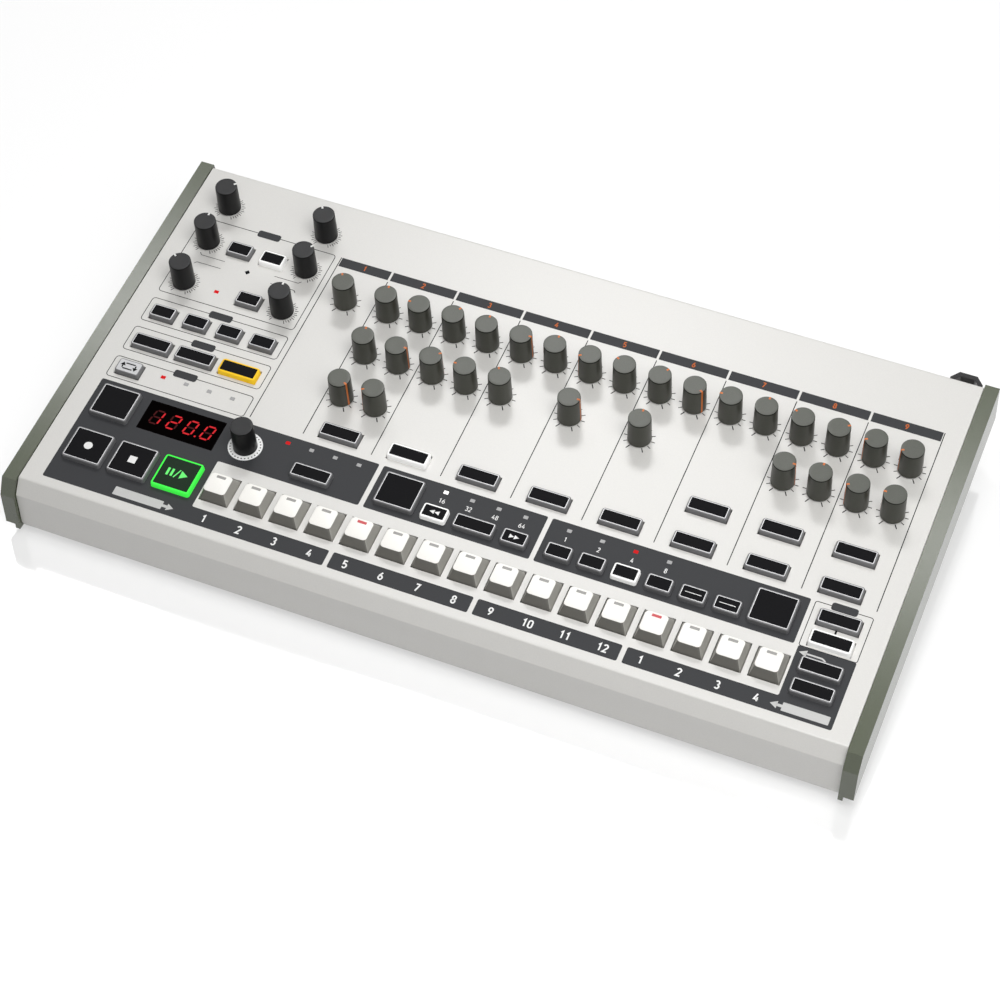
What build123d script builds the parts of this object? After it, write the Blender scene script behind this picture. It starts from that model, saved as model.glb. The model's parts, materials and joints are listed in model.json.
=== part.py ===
from build123d import *
import os
from math import atan2, cos, degrees, hypot, radians, sin, tan

os.makedirs("parts", exist_ok=True)

# A desktop drum machine. A folded steel cover and a steel tray close between two moulded
# cheeks. The sloping panel carries turning knobs, push buttons, a row of step keys and a
# four-digit display; the sockets and the power switch sit on the rear face.
# +X is to the player's right, +Y to the rear, +Z up. The origin is on the floor, under the
# middle of the machine.

# Case: folded sheet between the cheeks
panel_width = 481.0
panel_depth = 248.0  # along the slope, from the front bend to the rear edge
panel_slope = 5.5
bend_height = 41.0  # front bend above the floor
bevel_run = 5.7
bevel_drop = 9.3
front_lip = 11.0
sheet = 1.2
bend_radius = 1.6
rear_hem = 5.0
rear_break_run = 8.0  # rear break line behind the panel's rear edge
rear_break_height = 33.0
rear_foot_run = 3.0  # rear edge of the tray behind the panel's rear edge
rear_flange = 9.0
tray_height = 6.0  # underside of the tray above the floor
tray_front_setback = 1.0
wall_front_height = 26.0
wall_rear_height = 47.0
wall_rear_setback = 12.0
seam_gap = 0.3

# Cheeks: a thick wing along the panel's edge over a thinner skirt
cheek_thickness = 8.4
cheek_proud = 0.6  # above the panel
cheek_front_reach = 8.1  # ahead of the front bend
cheek_bend_reach = 3.2
cheek_bevel_height = 31.0
cheek_front_height = 8.2  # lower front edge of the wing
cheek_rear_margin = 1.4
cheek_wall = 2.2
cheek_rib = 1.6
cheek_rib_count = 5
skirt_thickness = 2.7
skirt_height = 4.8
boss_radius = 3.4

# Feet and screws
foot_radius = 8.0
foot_inset_x = 26.0
foot_inset_y = 24.0
foot_sides = 16
screw_radius = 1.5
screw_sides = 8
screw_clearance = 0.25
screw_head_radius = 2.9
screw_head_height = 1.7
screw_length = 5.0
screw_inset_x = 60.0
screw_inset_y = 4.0  # from the inner edge of the lip or flange

# Boards
board_thickness = 1.6
control_board_drop = 12.6  # panel surface to the board's upper face
control_board_margin = 6.0
control_board_rear_gap = 19.5  # to the panel's rear edge
stud_radius = 2.6
stud_margin = 6.8
voice_board_margin = 20.5  # each side
voice_board_front = 20.0  # behind the front bend
voice_board_rear_gap = 32.0  # to the panel's rear edge
voice_board_height = 13.6
voice_board_stud_inset = 12.0
chip_width = 18.0
chip_depth = 8.0
chip_height = 3.0
chip_pitch = 41.7
header_width = 52.0
header_depth = 6.0
header_v = 98.0

# Knobs: the angle is where the pointer stands, clockwise from straight back
knob_base_radius = 6.9
knob_top_radius = 6.5
knob_top = 19.6  # above the panel
knob_lift = 0.8  # skirt above the panel
knob_sides = 16  # round caps, with few sides because they repeat
pointer_width = 1.1
pointer_length = 1.7
pointer_drop = 1.6
shaft_radius = 3.0
shaft_sides = 6  # splined shafts, with few sides for the same reason
shaft_depth = 8.4  # below the panel
shaft_hole_clearance = 0.1
shaft_end_clearance = 0.1  # the shaft turns on top of its sensor's body
pot_width = 9.8
pot_depth = 11.2

# Panel layout: u from the left edge, v up the slope from the front bend
left_block = 98.8  # controls left of the keys
right_block = 43.0  # controls right of the keys
sections_left = 135.6  # left edge of the first voice section
sections_right = 11.8  # last section to the panel's right edge
section_count = 8
knob_pair = 20.6
accent_column = 119.3
left_column = 24.0
filter_column = 87.6
encoder_column = 109.5
encoder_row = 63.8

# Rows behind the pattern block, counted in equal steps up to the volume knobs
pattern_top = 79.0
volume_margin = 26.4  # volume knobs to the panel's rear edge
volume_step = 9
filter_step = 7.18
shaper_step = 5.09
edit_step = 3.41
mode_step = 1.96
sync_step = 0.67
upper_step = 6.29
middle_step = 4.25
lower_step = 2.2
upper_voice_step = 2.18
voice_step = 0.64
filter_button_drop = 0.6
shaper_button_drop = 0.5

# Push buttons
button_height = 3.2  # above the panel
button_clearance = 0.3
button_taper = 0.35  # each side, from the skirt up to the top
button_corner = 1.3
button_skirt = 7.0  # below the panel
button_travel = 1.0
small_width = 15.2
wide_width = 23.8
low_depth = 9.8
square_depth = 22.0
switch_width = 6.2
switch_drop = 4.8  # panel surface to the top of the switch
switch_clearance = 0.4
button_roof_clearance = 0.6  # over the switch when the cap is pressed right down

square_column = 28.2  # first of three
square_pitch = 27.7
square_row = 64.1
transport_row = 31.3
pattern_row = 57.9
right_column_inset = 27.6  # to the panel's right edge
track_row = 69.3
setup_row = 37.6
right_pitch = 13.8  # from each of these two rows down to the next

# Columns above the keys, counted in key pitches from the first key
data_button_place = 2.047
scroll_button_place = 4.429
length_button_places = [5.54, 6.646, 7.755]
first_bank_place = 8.962
bank_spacing = 0.9047
bank_count = 6
trigger_button_place = 14.592

# Step keys
key_count = 16
key_group = 4
key_row = 31.65
key_width = 17.0
key_depth = 18.7
key_top_width = 12.9
key_top_depth = 12.5
key_top_shift = -0.6  # the top sits a little forward of the base
key_height = 7.0
key_skirt = 4.2
key_corner = 1.6
key_clearance = 0.4
key_travel = 3.0
key_switch_width = 13.0
key_switch_drop = 3.0
key_roof_clearance = 1.6
lens_width = 5.4
lens_depth = 1.7
lens_recess = 0.4
lens_inset = 1.1  # from the top's rear edge

# Display and indicator lights
display_width = 47.3
display_depth = 20.7
display_u = 69.7
display_v = 64.35
display_recess = 0.5
light_width = 2.7
light_depth = 2.1
light_clearance = 0.1
light_stand = 0.15
shaper_light_column = 45.0
sync_light_column = 44.3
sync_light_pitch = 14.6
sync_light_step = 0.8
pattern_light_row = 74.3
data_light_place = 1.019
data_light_spacing = 0.6816
length_light_spacing = 0.7406
light_count = 4  # in each row

# Rear face: one row of sockets with equal gaps, from the left up to the cable clip
socket_row = ["jack"] * 10 + ["mini_jack"] * 2 + ["midi"] * 3 + ["usb", "rocker", "inlet"]
socket_margin = 31.5  # panel's left edge to the first socket
socket_lip = 0.8  # wall of a socket's collar, and how far the shells stand out
socket_hole_sides = 12
jack_bore_radius = 3.2
jack_body_width = 14.0
jack_body_height = 13.0
jack_body_depth = 12.0
mini_bore_radius = 1.8
mini_body_width = 9.0
mini_body_depth = 12.0
din_radius = 7.0
din_body_width = 19.0
din_depth = 8.0
usb_width = 12.0
usb_height = 10.8
usb_wall = 1.2
usb_depth = 10.0
inlet_radius = 3.0
inlet_pin_radius = 1.0
inlet_sides = 8
rocker_width = 19.0
rocker_height = 12.0
rocker_angle = 7.0
rocker_wall = 1.6
rocker_depth = 10.0
rocker_gap = 0.9
rocker_valley = 3.4  # above the pivot
rocker_keel = 2.5  # below the pivot
rocker_keel_width = 6.0
rocker_pivot_radius = 1.5
rocker_pivot_drop = 3.0  # below the rear face
pin_inset = 0.2
pivot_clearance = 0.05

# Cable clip: an arch on the rear face that a lead is looped through
clip_inset = 11.3  # from the panel's right edge
clip_width = 18.8
clip_top_width = 10.2
clip_reach = 10.5
clip_leg_height = 6.0  # where its legs turn in
clip_wall = 2.6
clip_height = 5.5
clip_drop = 9.5  # its middle below the panel's rear edge

slope = radians(panel_slope)
key_pitch = (panel_width - left_block - right_block) / key_count
first_key = left_block + key_pitch / 2
section_pitch = (panel_width - sections_left - sections_right) / section_count
row_step = (panel_depth - volume_margin - pattern_top) / volume_step
voice_board_width = panel_width - 2 * voice_board_margin
voice_board_depth = panel_depth - voice_board_rear_gap - voice_board_front
clip_column = panel_width / 2 - clip_inset


def slope_point(v, height):
    """(y, z) of a point v up the slope and a height square to it, from the front bend."""
    y = v * cos(slope) - height * sin(slope)
    z = bend_height + v * sin(slope) + height * cos(slope)
    return (y, z)


rear_edge_y, rear_edge_z = slope_point(panel_depth, 0)
rear_angle = atan2(rear_break_run, rear_edge_z - rear_break_height)

# The rear panel's outer face lies one sheet and a gap inside the hem
under_hem = sheet + seam_gap
face_top_y, face_top_z = slope_point(panel_depth - under_hem, -under_hem)
face_break_y = rear_edge_y + rear_break_run - under_hem
face_angle = atan2(face_break_y - face_top_y, face_top_z - rear_break_height)
face_half = hypot(face_break_y - face_top_y, face_top_z - rear_break_height) / 2
clip_rise = face_half + under_hem - clip_drop  # above the middle line of the face
clip_low_end = clip_rise - clip_height / 2
clip_root_y = (face_top_y + face_break_y) / 2 - clip_low_end * sin(face_angle)
clip_rear_y = clip_root_y + clip_reach * cos(face_angle)

# The middle of the whole depth, cheek to clip, stands over the origin
rear_reach = max(clip_rear_y, rear_edge_y + rear_break_run + cheek_rear_margin)
bend_y = (cheek_front_reach - rear_reach) / 2
face_middle_y = bend_y + (face_top_y + face_break_y) / 2
face_middle_z = (face_top_z + rear_break_height) / 2

panel_plane = Plane(
    origin=(0, bend_y, bend_height),
    x_dir=(1, 0, 0),
    z_dir=(0, -sin(slope), cos(slope)),
)
face_plane = Plane(
    origin=(0, face_middle_y, face_middle_z),
    x_dir=(-1, 0, 0),
    z_dir=(0, cos(face_angle), sin(face_angle)),
)


def on_panel(u, v, height=0.0, turn=0.0):
    """Plane parallel to the panel at u from its left edge and v from its front bend."""
    return Plane(panel_plane.location * Location((u - panel_width / 2, v, height), (0, 0, turn)))


def on_face(column, height=0.0):
    """Plane parallel to the rear face, on its middle line, at a column along X."""
    return Plane(face_plane.location * Location((-column, 0, height)))


def across_face(column, rise, height, turn=0.0):
    """Plane square to the rear face: its x is +X, its y the face's outward direction."""
    origin = (face_plane.location * Location((-column, rise, height))).position
    upright = Plane(origin=origin, x_dir=(1, 0, 0), z_dir=(0, -sin(face_angle), cos(face_angle)))
    return Plane(upright.location * Location((0, 0, 0), (0, 0, turn)))


def from_bend(*points):
    """Profile points (y, z) measured from the front bend, as points of the YZ plane."""
    return [(bend_y + y, z) for y, z in points]


def write(part, name):
    part.label = name
    export_step(part, f"parts/{name}.step")


def field_row(step):
    """v of a row behind the pattern block."""
    return pattern_top + step * row_step


def key_place(place):
    """u of a place counted in key pitches from the first key."""
    return first_key + place * key_pitch


upper_row = field_row(upper_step)
middle_row = field_row(middle_step)
lower_row = field_row(lower_step)
volume_row = field_row(volume_step)
filter_row = field_row(filter_step)
shaper_row = field_row(shaper_step)
voice_row = field_row(voice_step)
section_middle = [sections_left + section_pitch * (i + 0.5) for i in range(section_count)]
section_left = [middle - knob_pair / 2 for middle in section_middle]
section_right = [middle + knob_pair / 2 for middle in section_middle]

# name: (u, v, pointer angle)
knobs = {
    "master_volume_knob": (left_column, volume_row, 49),
    "headphone_volume_knob": (filter_column, volume_row, -32),
    "filter_cutoff_knob": (left_column, filter_row, 0),
    "filter_resonance_knob": (filter_column, filter_row, 43),
    "shaper_attack_knob": (left_column, shaper_row, -55),
    "shaper_sustain_knob": (filter_column, shaper_row, 0),
    "data_encoder_knob": (encoder_column, encoder_row, 0),
    "accent_level_knob": (accent_column, upper_row, -27),
    "bass_drum_tune_knob": (section_left[0], upper_row, -4),
    "bass_drum_level_knob": (section_right[0], upper_row, -90),
    "bass_drum_attack_knob": (section_left[0], middle_row, -4),
    "bass_drum_decay_knob": (section_right[0], middle_row, 90),
    "bass_drum_sweep_knob": (section_left[0], lower_row, 119),
    "bass_drum_pitch_knob": (section_right[0], lower_row, -120),
    "snare_drum_tune_knob": (section_left[1], upper_row, 27),
    "snare_drum_level_knob": (section_right[1], upper_row, 0),
    "snare_drum_tone_knob": (section_left[1], middle_row, 55),
    "snare_drum_snap_knob": (section_right[1], middle_row, -90),
    "low_tom_tune_knob": (section_left[2], upper_row, 90),
    "low_tom_level_knob": (section_right[2], upper_row, 3),
    "low_tom_decay_knob": (section_left[2], middle_row, -24),
    "mid_tom_tune_knob": (section_left[3], upper_row, -119),
    "mid_tom_level_knob": (section_right[3], upper_row, -61),
    "mid_tom_decay_knob": (section_left[3], middle_row, 90),
    "high_tom_tune_knob": (section_left[4], upper_row, 32),
    "high_tom_level_knob": (section_right[4], upper_row, 123),
    "high_tom_decay_knob": (section_left[4], middle_row, 0),
    "rim_level_knob": (section_left[5], upper_row, -93),
    "clap_level_knob": (section_right[5], upper_row, 0),
    "closed_hat_level_knob": (section_left[6], upper_row, -61),
    "open_hat_level_knob": (section_right[6], upper_row, 59),
    "closed_hat_decay_knob": (section_left[6], middle_row, 90),
    "open_hat_decay_knob": (section_right[6], middle_row, 0),
    "crash_level_knob": (section_left[7], upper_row, -117),
    "ride_level_knob": (section_right[7], upper_row, -118),
    "crash_tune_knob": (section_left[7], middle_row, -117),
    "ride_tune_knob": (section_right[7], middle_row, -90),
}
knob_points = [(u, v) for u, v, angle in knobs.values()]

# group: (u, v, width, depth) of each cap at the panel's surface
small_columns = [left_column + (filter_column - left_column) / 3 * i for i in range(4)]
square_columns = [square_column + square_pitch * i for i in range(3)]
right_rows = [track_row, track_row - right_pitch, setup_row, setup_row - right_pitch]
filter_button_row = filter_row - filter_button_drop
shaper_button_row = shaper_row - shaper_button_drop
bank_columns = [key_place(first_bank_place + bank_spacing * i) for i in range(bank_count)]
length_columns = [key_place(place) for place in length_button_places]
right_column = panel_width - right_column_inset
buttons = {
    "function_buttons": [
        *[(u, filter_button_row, small_width, low_depth) for u in small_columns[1:3]],
        (small_columns[2], shaper_button_row, small_width, low_depth),
        *[(u, field_row(edit_step), small_width, low_depth) for u in small_columns],
        *[(u, field_row(mode_step), wide_width, low_depth) for u in square_columns],
        (left_column, field_row(sync_step), small_width, low_depth),
        (key_place(data_button_place), pattern_row, wide_width, low_depth),
        (length_columns[0], pattern_row, small_width, low_depth),
        (length_columns[1], pattern_row, wide_width, low_depth),
        (length_columns[2], pattern_row, small_width, low_depth),
        *[(u, pattern_row, small_width, low_depth) for u in bank_columns],
        *[(right_column, v, wide_width, low_depth) for v in right_rows],
    ],
    "transport_buttons": [
        *[(u, transport_row, wide_width, square_depth) for u in square_columns],
        (square_columns[0], square_row, wide_width, square_depth),
        (key_place(scroll_button_place), square_row, wide_width, square_depth),
        (key_place(trigger_button_place), square_row, wide_width, square_depth),
    ],
    "voice_buttons": [
        *[(u, voice_row, wide_width, low_depth) for u in section_middle],
        *[(u, field_row(upper_voice_step), wide_width, low_depth) for u in section_middle[5:]],
    ],
}
all_buttons = [button for group in buttons.values() for button in group]
key_columns = [first_key + key_pitch * i for i in range(key_count)]
lights = [(shaper_light_column, shaper_row)]
for i in range(light_count):
    lights.append((sync_light_column + sync_light_pitch * i, field_row(sync_light_step)))
    lights.append((key_place(data_light_place + data_light_spacing * i), pattern_light_row))
    lights.append((length_columns[0] + length_light_spacing * key_pitch * i, pattern_light_row))
    lights.append((bank_columns[i], pattern_light_row))

# Between the controls, where the cover's studs come down to the board
front_stud_row = (key_row + key_depth / 2 + pattern_row - low_depth / 2) / 2
stud_rows = [front_stud_row, (voice_row + lower_row) / 2, (filter_row + volume_row) / 2]
stud_columns = [sections_left + 3 * section_pitch * i for i in range(3)]
stud_columns += [stud_margin, panel_width - stud_margin]

# Sockets along the rear face, each kind with its columns
socket_widths = {
    "jack": jack_body_width,
    "mini_jack": mini_body_width,
    "midi": din_body_width,
    "usb": usb_width,
    "rocker": rocker_width,
    "inlet": mini_body_width,
}
socket_edge = socket_margin - panel_width / 2
row_width = clip_column - clip_width / 2 - socket_edge
widths_sum = sum(socket_widths[kind] for kind in socket_row)
socket_gap = (row_width - widths_sum) / len(socket_row)
columns = {kind: [] for kind in socket_widths}
for kind in socket_row:
    columns[kind].append(socket_edge + socket_widths[kind] / 2)
    socket_edge += socket_widths[kind] + socket_gap
usb_column = columns["usb"][0]
rocker_column = columns["rocker"][0]
inlet_column = columns["inlet"][0]

# Round sockets: bore radius, and the body's width, height and depth
round_sockets = {
    "jack": (jack_bore_radius, jack_body_width, jack_body_height, jack_body_depth),
    "mini_jack": (mini_bore_radius, mini_body_width, mini_body_width, mini_body_depth),
    "midi": (din_radius, din_body_width, din_body_width, din_depth),
}


def centred(points):
    """Panel positions as sketch positions, which are measured from the panel's middle."""
    return [(u - panel_width / 2, v) for u, v in points]


# Top cover: one folded sheet, from the rear hem over the panel and down the front
tray_floor = tray_height + sheet
hem_end = (rear_edge_y + rear_hem * sin(rear_angle), rear_edge_z - rear_hem * cos(rear_angle))
lip_edge = front_lip - bevel_run
cover_line = from_bend(
    hem_end,
    (rear_edge_y, rear_edge_z),
    (0, bend_height),
    (-bevel_run, bend_height - bevel_drop),
    (-bevel_run, tray_floor),
    (lip_edge, tray_floor),
)
foot_y = rear_edge_y + rear_foot_run - under_hem
screw_x = panel_width / 2 - screw_inset_x
front_screw_y = bend_y + lip_edge - screw_inset_y
rear_screw_y = bend_y + foot_y - rear_flange + screw_inset_y
front_screws = [(-screw_x, front_screw_y), (screw_x, front_screw_y)]
rear_screws = [(-screw_x, rear_screw_y), (screw_x, rear_screw_y)]
with BuildPart() as top_cover:
    with BuildSketch(Plane.YZ) as cover_profile:
        with BuildLine():
            FilletPolyline(*cover_line, radius=bend_radius)
            offset(amount=sheet, side=Side.LEFT)
        make_face()
    extrude(amount=panel_width / 2 - seam_gap, both=True)
    with BuildSketch(panel_plane) as panel_openings:
        with Locations(*centred(knob_points)):
            RegularPolygon(shaft_radius + shaft_hole_clearance, shaft_sides, major_radius=False)
        for u, v, width, depth in all_buttons:
            with Locations(*centred([(u, v)])):
                Rectangle(width + 2 * button_clearance, depth + 2 * button_clearance)
        with Locations(*centred([(u, key_row) for u in key_columns])):
            Rectangle(key_width + 2 * key_clearance, key_depth + 2 * key_clearance)
        with Locations(*centred(lights)):
            Rectangle(light_width + 2 * light_clearance, light_depth + 2 * light_clearance)
        with Locations(*centred([(display_u, display_v)])):
            Rectangle(display_width, display_depth)
    extrude(amount=2 * sheet, both=True, mode=Mode.SUBTRACT)
    with BuildSketch(panel_plane.offset(-sheet)) as studs:
        with Locations(*centred([(u, v) for u in stud_columns for v in stud_rows])):
            RegularPolygon(stud_radius, 6)
    extrude(amount=sheet - control_board_drop)
    with BuildSketch(Plane.XY.offset(tray_floor)) as lip_holes:
        with Locations(*front_screws):
            RegularPolygon(screw_radius + screw_clearance, screw_sides)
    extrude(amount=sheet, mode=Mode.SUBTRACT)
write(top_cover.part, "top_cover")

# Rear panel: folded sheet from under the hem out to the break line and back to the tray
rear_line = from_bend(
    slope_point(panel_depth - under_hem - rear_flange, -under_hem),
    (face_top_y, face_top_z),
    (face_break_y, rear_break_height),
    (foot_y, tray_floor),
    (foot_y - rear_flange, tray_floor),
)
with BuildPart() as rear_panel:
    with BuildSketch(Plane.YZ) as rear_profile:
        with BuildLine():
            FilletPolyline(*rear_line, radius=bend_radius)
            offset(amount=sheet, side=Side.RIGHT)
        make_face()
    extrude(amount=panel_width / 2 - seam_gap, both=True)
    with BuildSketch(face_plane) as socket_holes:
        for kind, (radius, width, height, depth) in round_sockets.items():
            with Locations(*[(-column, 0) for column in columns[kind]]):
                hole = radius + socket_lip + seam_gap
                RegularPolygon(hole, socket_hole_sides, major_radius=False)
        with Locations((-inlet_column, 0)):
            RegularPolygon(inlet_radius + socket_lip, inlet_sides, major_radius=False)
        with Locations((-usb_column, 0)):
            Rectangle(usb_width + 2 * seam_gap, usb_height + 2 * seam_gap)
        with Locations((-rocker_column, 0)):
            Rectangle(rocker_width + 2 * seam_gap, rocker_height + 2 * seam_gap)
    extrude(amount=2 * sheet, both=True, mode=Mode.SUBTRACT)
    with BuildSketch(Plane.XY.offset(tray_floor)) as flange_holes:
        with Locations(*rear_screws):
            RegularPolygon(screw_radius + screw_clearance, screw_sides)
    extrude(amount=sheet, mode=Mode.SUBTRACT)
write(rear_panel.part, "rear_panel")

# Bottom tray: floor, side walls behind the cheeks, and studs under the voice board
tray_front = tray_front_setback - bevel_run
wall_front = lip_edge + seam_gap
wall_rear = foot_y - wall_rear_setback
wall_profile = from_bend(
    (wall_front, tray_height),
    (wall_front, wall_front_height),
    (wall_rear, wall_rear_height),
    (wall_rear, tray_height),
)
tray_middle_y = bend_y + (tray_front + foot_y) / 2
voice_board_y = bend_y + voice_board_front + voice_board_depth / 2
voice_stud_x = voice_board_width - 2 * voice_board_stud_inset
voice_stud_y = voice_board_depth - 2 * voice_board_stud_inset
wall_plane = Plane.YZ.offset(panel_width / 2 - seam_gap)
with BuildPart() as bottom_tray:
    with BuildSketch(Plane.XY.offset(tray_height)) as tray_sheet:
        with Locations((0, tray_middle_y)):
            Rectangle(panel_width - 2 * seam_gap, foot_y - tray_front)
        with Locations(*front_screws, *rear_screws):
            RegularPolygon(screw_radius + screw_clearance, screw_sides, mode=Mode.SUBTRACT)
    extrude(amount=sheet)
    with BuildSketch(wall_plane) as tray_wall:
        Polygon(*wall_profile, align=None)
    extrude(amount=-sheet)
    mirror(about=Plane.YZ)
    with BuildSketch(Plane.XY.offset(tray_floor)) as voice_studs:
        with Locations((0, voice_board_y)):
            with GridLocations(voice_stud_x / 2, voice_stud_y, 3, 2):
                RegularPolygon(stud_radius, 6)
    extrude(amount=voice_board_height - tray_floor)
write(bottom_tray.part, "bottom_tray")

# Cheeks: wing and skirt, hollowed on the inner side between ribs and screw bosses
wing_rear_y = rear_edge_y + rear_break_run + cheek_rear_margin
wing_front = (-cheek_front_reach, cheek_front_height)
wing_break = (wing_rear_y, rear_break_height)
wing_profile = from_bend(
    slope_point(panel_depth + cheek_rear_margin, cheek_proud),
    slope_point(-cheek_bend_reach, cheek_proud),
    (-cheek_front_reach, cheek_bevel_height),
    wing_front,
    wing_break,
)
skirt_profile = from_bend(
    wing_front,
    (-cheek_front_reach, skirt_height),
    (foot_y + under_hem + cheek_rear_margin, skirt_height),
    wing_break,
)
inner_plane = Plane.YZ.offset(-panel_width / 2)
rib_pitch = (panel_depth + cheek_front_reach) / (cheek_rib_count + 1)
rib_columns = [bend_y - cheek_front_reach + rib_pitch * (i + 1) for i in range(cheek_rib_count)]
boss_columns = [(rib_columns[0] + rib_columns[1]) / 2, (rib_columns[-2] + rib_columns[-1]) / 2]
boss_points = [(y, bend_height + (y - bend_y) * tan(slope) - bevel_drop * 1.6) for y in boss_columns]
with BuildPart() as left_cheek:
    with BuildSketch(inner_plane) as wing:
        Polygon(*wing_profile, align=None)
    extrude(amount=-cheek_thickness)
    with BuildSketch(inner_plane) as skirt:
        Polygon(*skirt_profile, align=None)
    extrude(amount=-skirt_thickness)
    with BuildSketch(inner_plane) as pocket:
        with BuildLine():
            Polyline(*wing_profile, close=True)
            offset(amount=-cheek_wall, kind=Kind.INTERSECTION, mode=Mode.REPLACE)
        make_face()
        with Locations(*[(y, bend_height) for y in rib_columns]):
            Rectangle(cheek_rib, 2 * bend_height, mode=Mode.SUBTRACT)
        with Locations(*boss_points):
            RegularPolygon(boss_radius, screw_sides, mode=Mode.SUBTRACT)
    extrude(amount=cheek_wall - cheek_thickness, mode=Mode.SUBTRACT)
write(left_cheek.part, "left_cheek")

with BuildPart() as right_cheek:
    add(left_cheek.part.mirror(Plane.YZ))
write(right_cheek.part, "right_cheek")

# Rubber feet and case screws
foot_x = panel_width / 2 - foot_inset_x
foot_span = foot_y - tray_front - 2 * foot_inset_y
with BuildPart() as rubber_feet:
    with BuildSketch(Plane.XY) as foot_prints:
        with Locations((0, tray_middle_y)):
            with GridLocations(2 * foot_x, foot_span, 2, 2):
                RegularPolygon(foot_radius, foot_sides)
    extrude(amount=tray_height)
write(rubber_feet.part, "rubber_feet")

with BuildPart() as case_screws:
    with BuildSketch(Plane.XY.offset(tray_height)) as screw_shanks:
        with Locations(*front_screws, *rear_screws):
            RegularPolygon(screw_radius, screw_sides)
    extrude(amount=screw_length)
    with BuildSketch(Plane.XY.offset(tray_height)) as screw_heads:
        with Locations(*front_screws, *rear_screws):
            RegularPolygon(screw_head_radius, 2 * screw_sides)
    extrude(amount=-screw_head_height)
write(case_screws.part, "case_screws")

# Control board under the panel, and what is soldered to it
board_top = panel_plane.offset(-control_board_drop)
board_length = panel_depth - control_board_rear_gap - control_board_margin
board_middle = (0, control_board_margin + board_length / 2)
with BuildPart() as control_board:
    with BuildSketch(board_top) as control_outline:
        with Locations(board_middle):
            Rectangle(panel_width - 2 * control_board_margin, board_length)
    extrude(amount=-board_thickness)
write(control_board.part, "control_board")

with BuildPart() as potentiometers:
    with BuildSketch(board_top) as pot_bodies:
        with Locations(*centred(knob_points)):
            Rectangle(pot_width, pot_depth)
    extrude(amount=control_board_drop - shaft_depth - shaft_end_clearance)
write(potentiometers.part, "potentiometers")

with BuildPart() as push_switches:
    with BuildSketch(board_top) as button_switches:
        with Locations(*centred([(u, v) for u, v, width, depth in all_buttons])):
            Rectangle(switch_width, switch_width)
    extrude(amount=control_board_drop - switch_drop)
    with BuildSketch(board_top) as key_switches:
        with Locations(*centred([(u, key_row) for u in key_columns])):
            Rectangle(key_switch_width, key_switch_width)
    extrude(amount=control_board_drop - key_switch_drop)
write(push_switches.part, "push_switches")

with BuildPart() as indicator_lights:
    with BuildSketch(board_top) as light_pipes:
        with Locations(*centred(lights)):
            Rectangle(light_width, light_depth)
    extrude(amount=control_board_drop + light_stand)
write(indicator_lights.part, "indicator_lights")

with BuildPart() as display_module:
    with BuildSketch(board_top) as display_body:
        with Locations(*centred([(display_u, display_v)])):
            Rectangle(display_width - 2 * seam_gap, display_depth - 2 * seam_gap)
    extrude(amount=control_board_drop - display_recess)
write(display_module.part, "display_module")

# Voice board on the tray, with a row of chips and the link up to the control board
chip_row_y = bend_y + voice_board_front + voice_board_depth * 0.72
board_face = voice_board_height + board_thickness
header_y, header_top = slope_point(header_v, -control_board_drop - board_thickness)
header_height = header_top - header_depth / 2 * sin(slope) - board_face
with BuildPart() as voice_board:
    with BuildSketch(Plane.XY.offset(voice_board_height)) as voice_outline:
        with Locations((0, voice_board_y)):
            Rectangle(voice_board_width, voice_board_depth)
    extrude(amount=board_thickness)
    with BuildSketch(Plane.XY.offset(board_face)) as chips:
        with Locations((0, chip_row_y)):
            with GridLocations(chip_pitch, 0, 8, 1):
                Rectangle(chip_width, chip_depth)
    extrude(amount=chip_height)
    with BuildSketch(Plane.XY.offset(board_face)) as header:
        with Locations((0, bend_y + header_y)):
            Rectangle(header_width, header_depth)
    extrude(amount=header_height)
write(voice_board.part, "voice_board")

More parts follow.
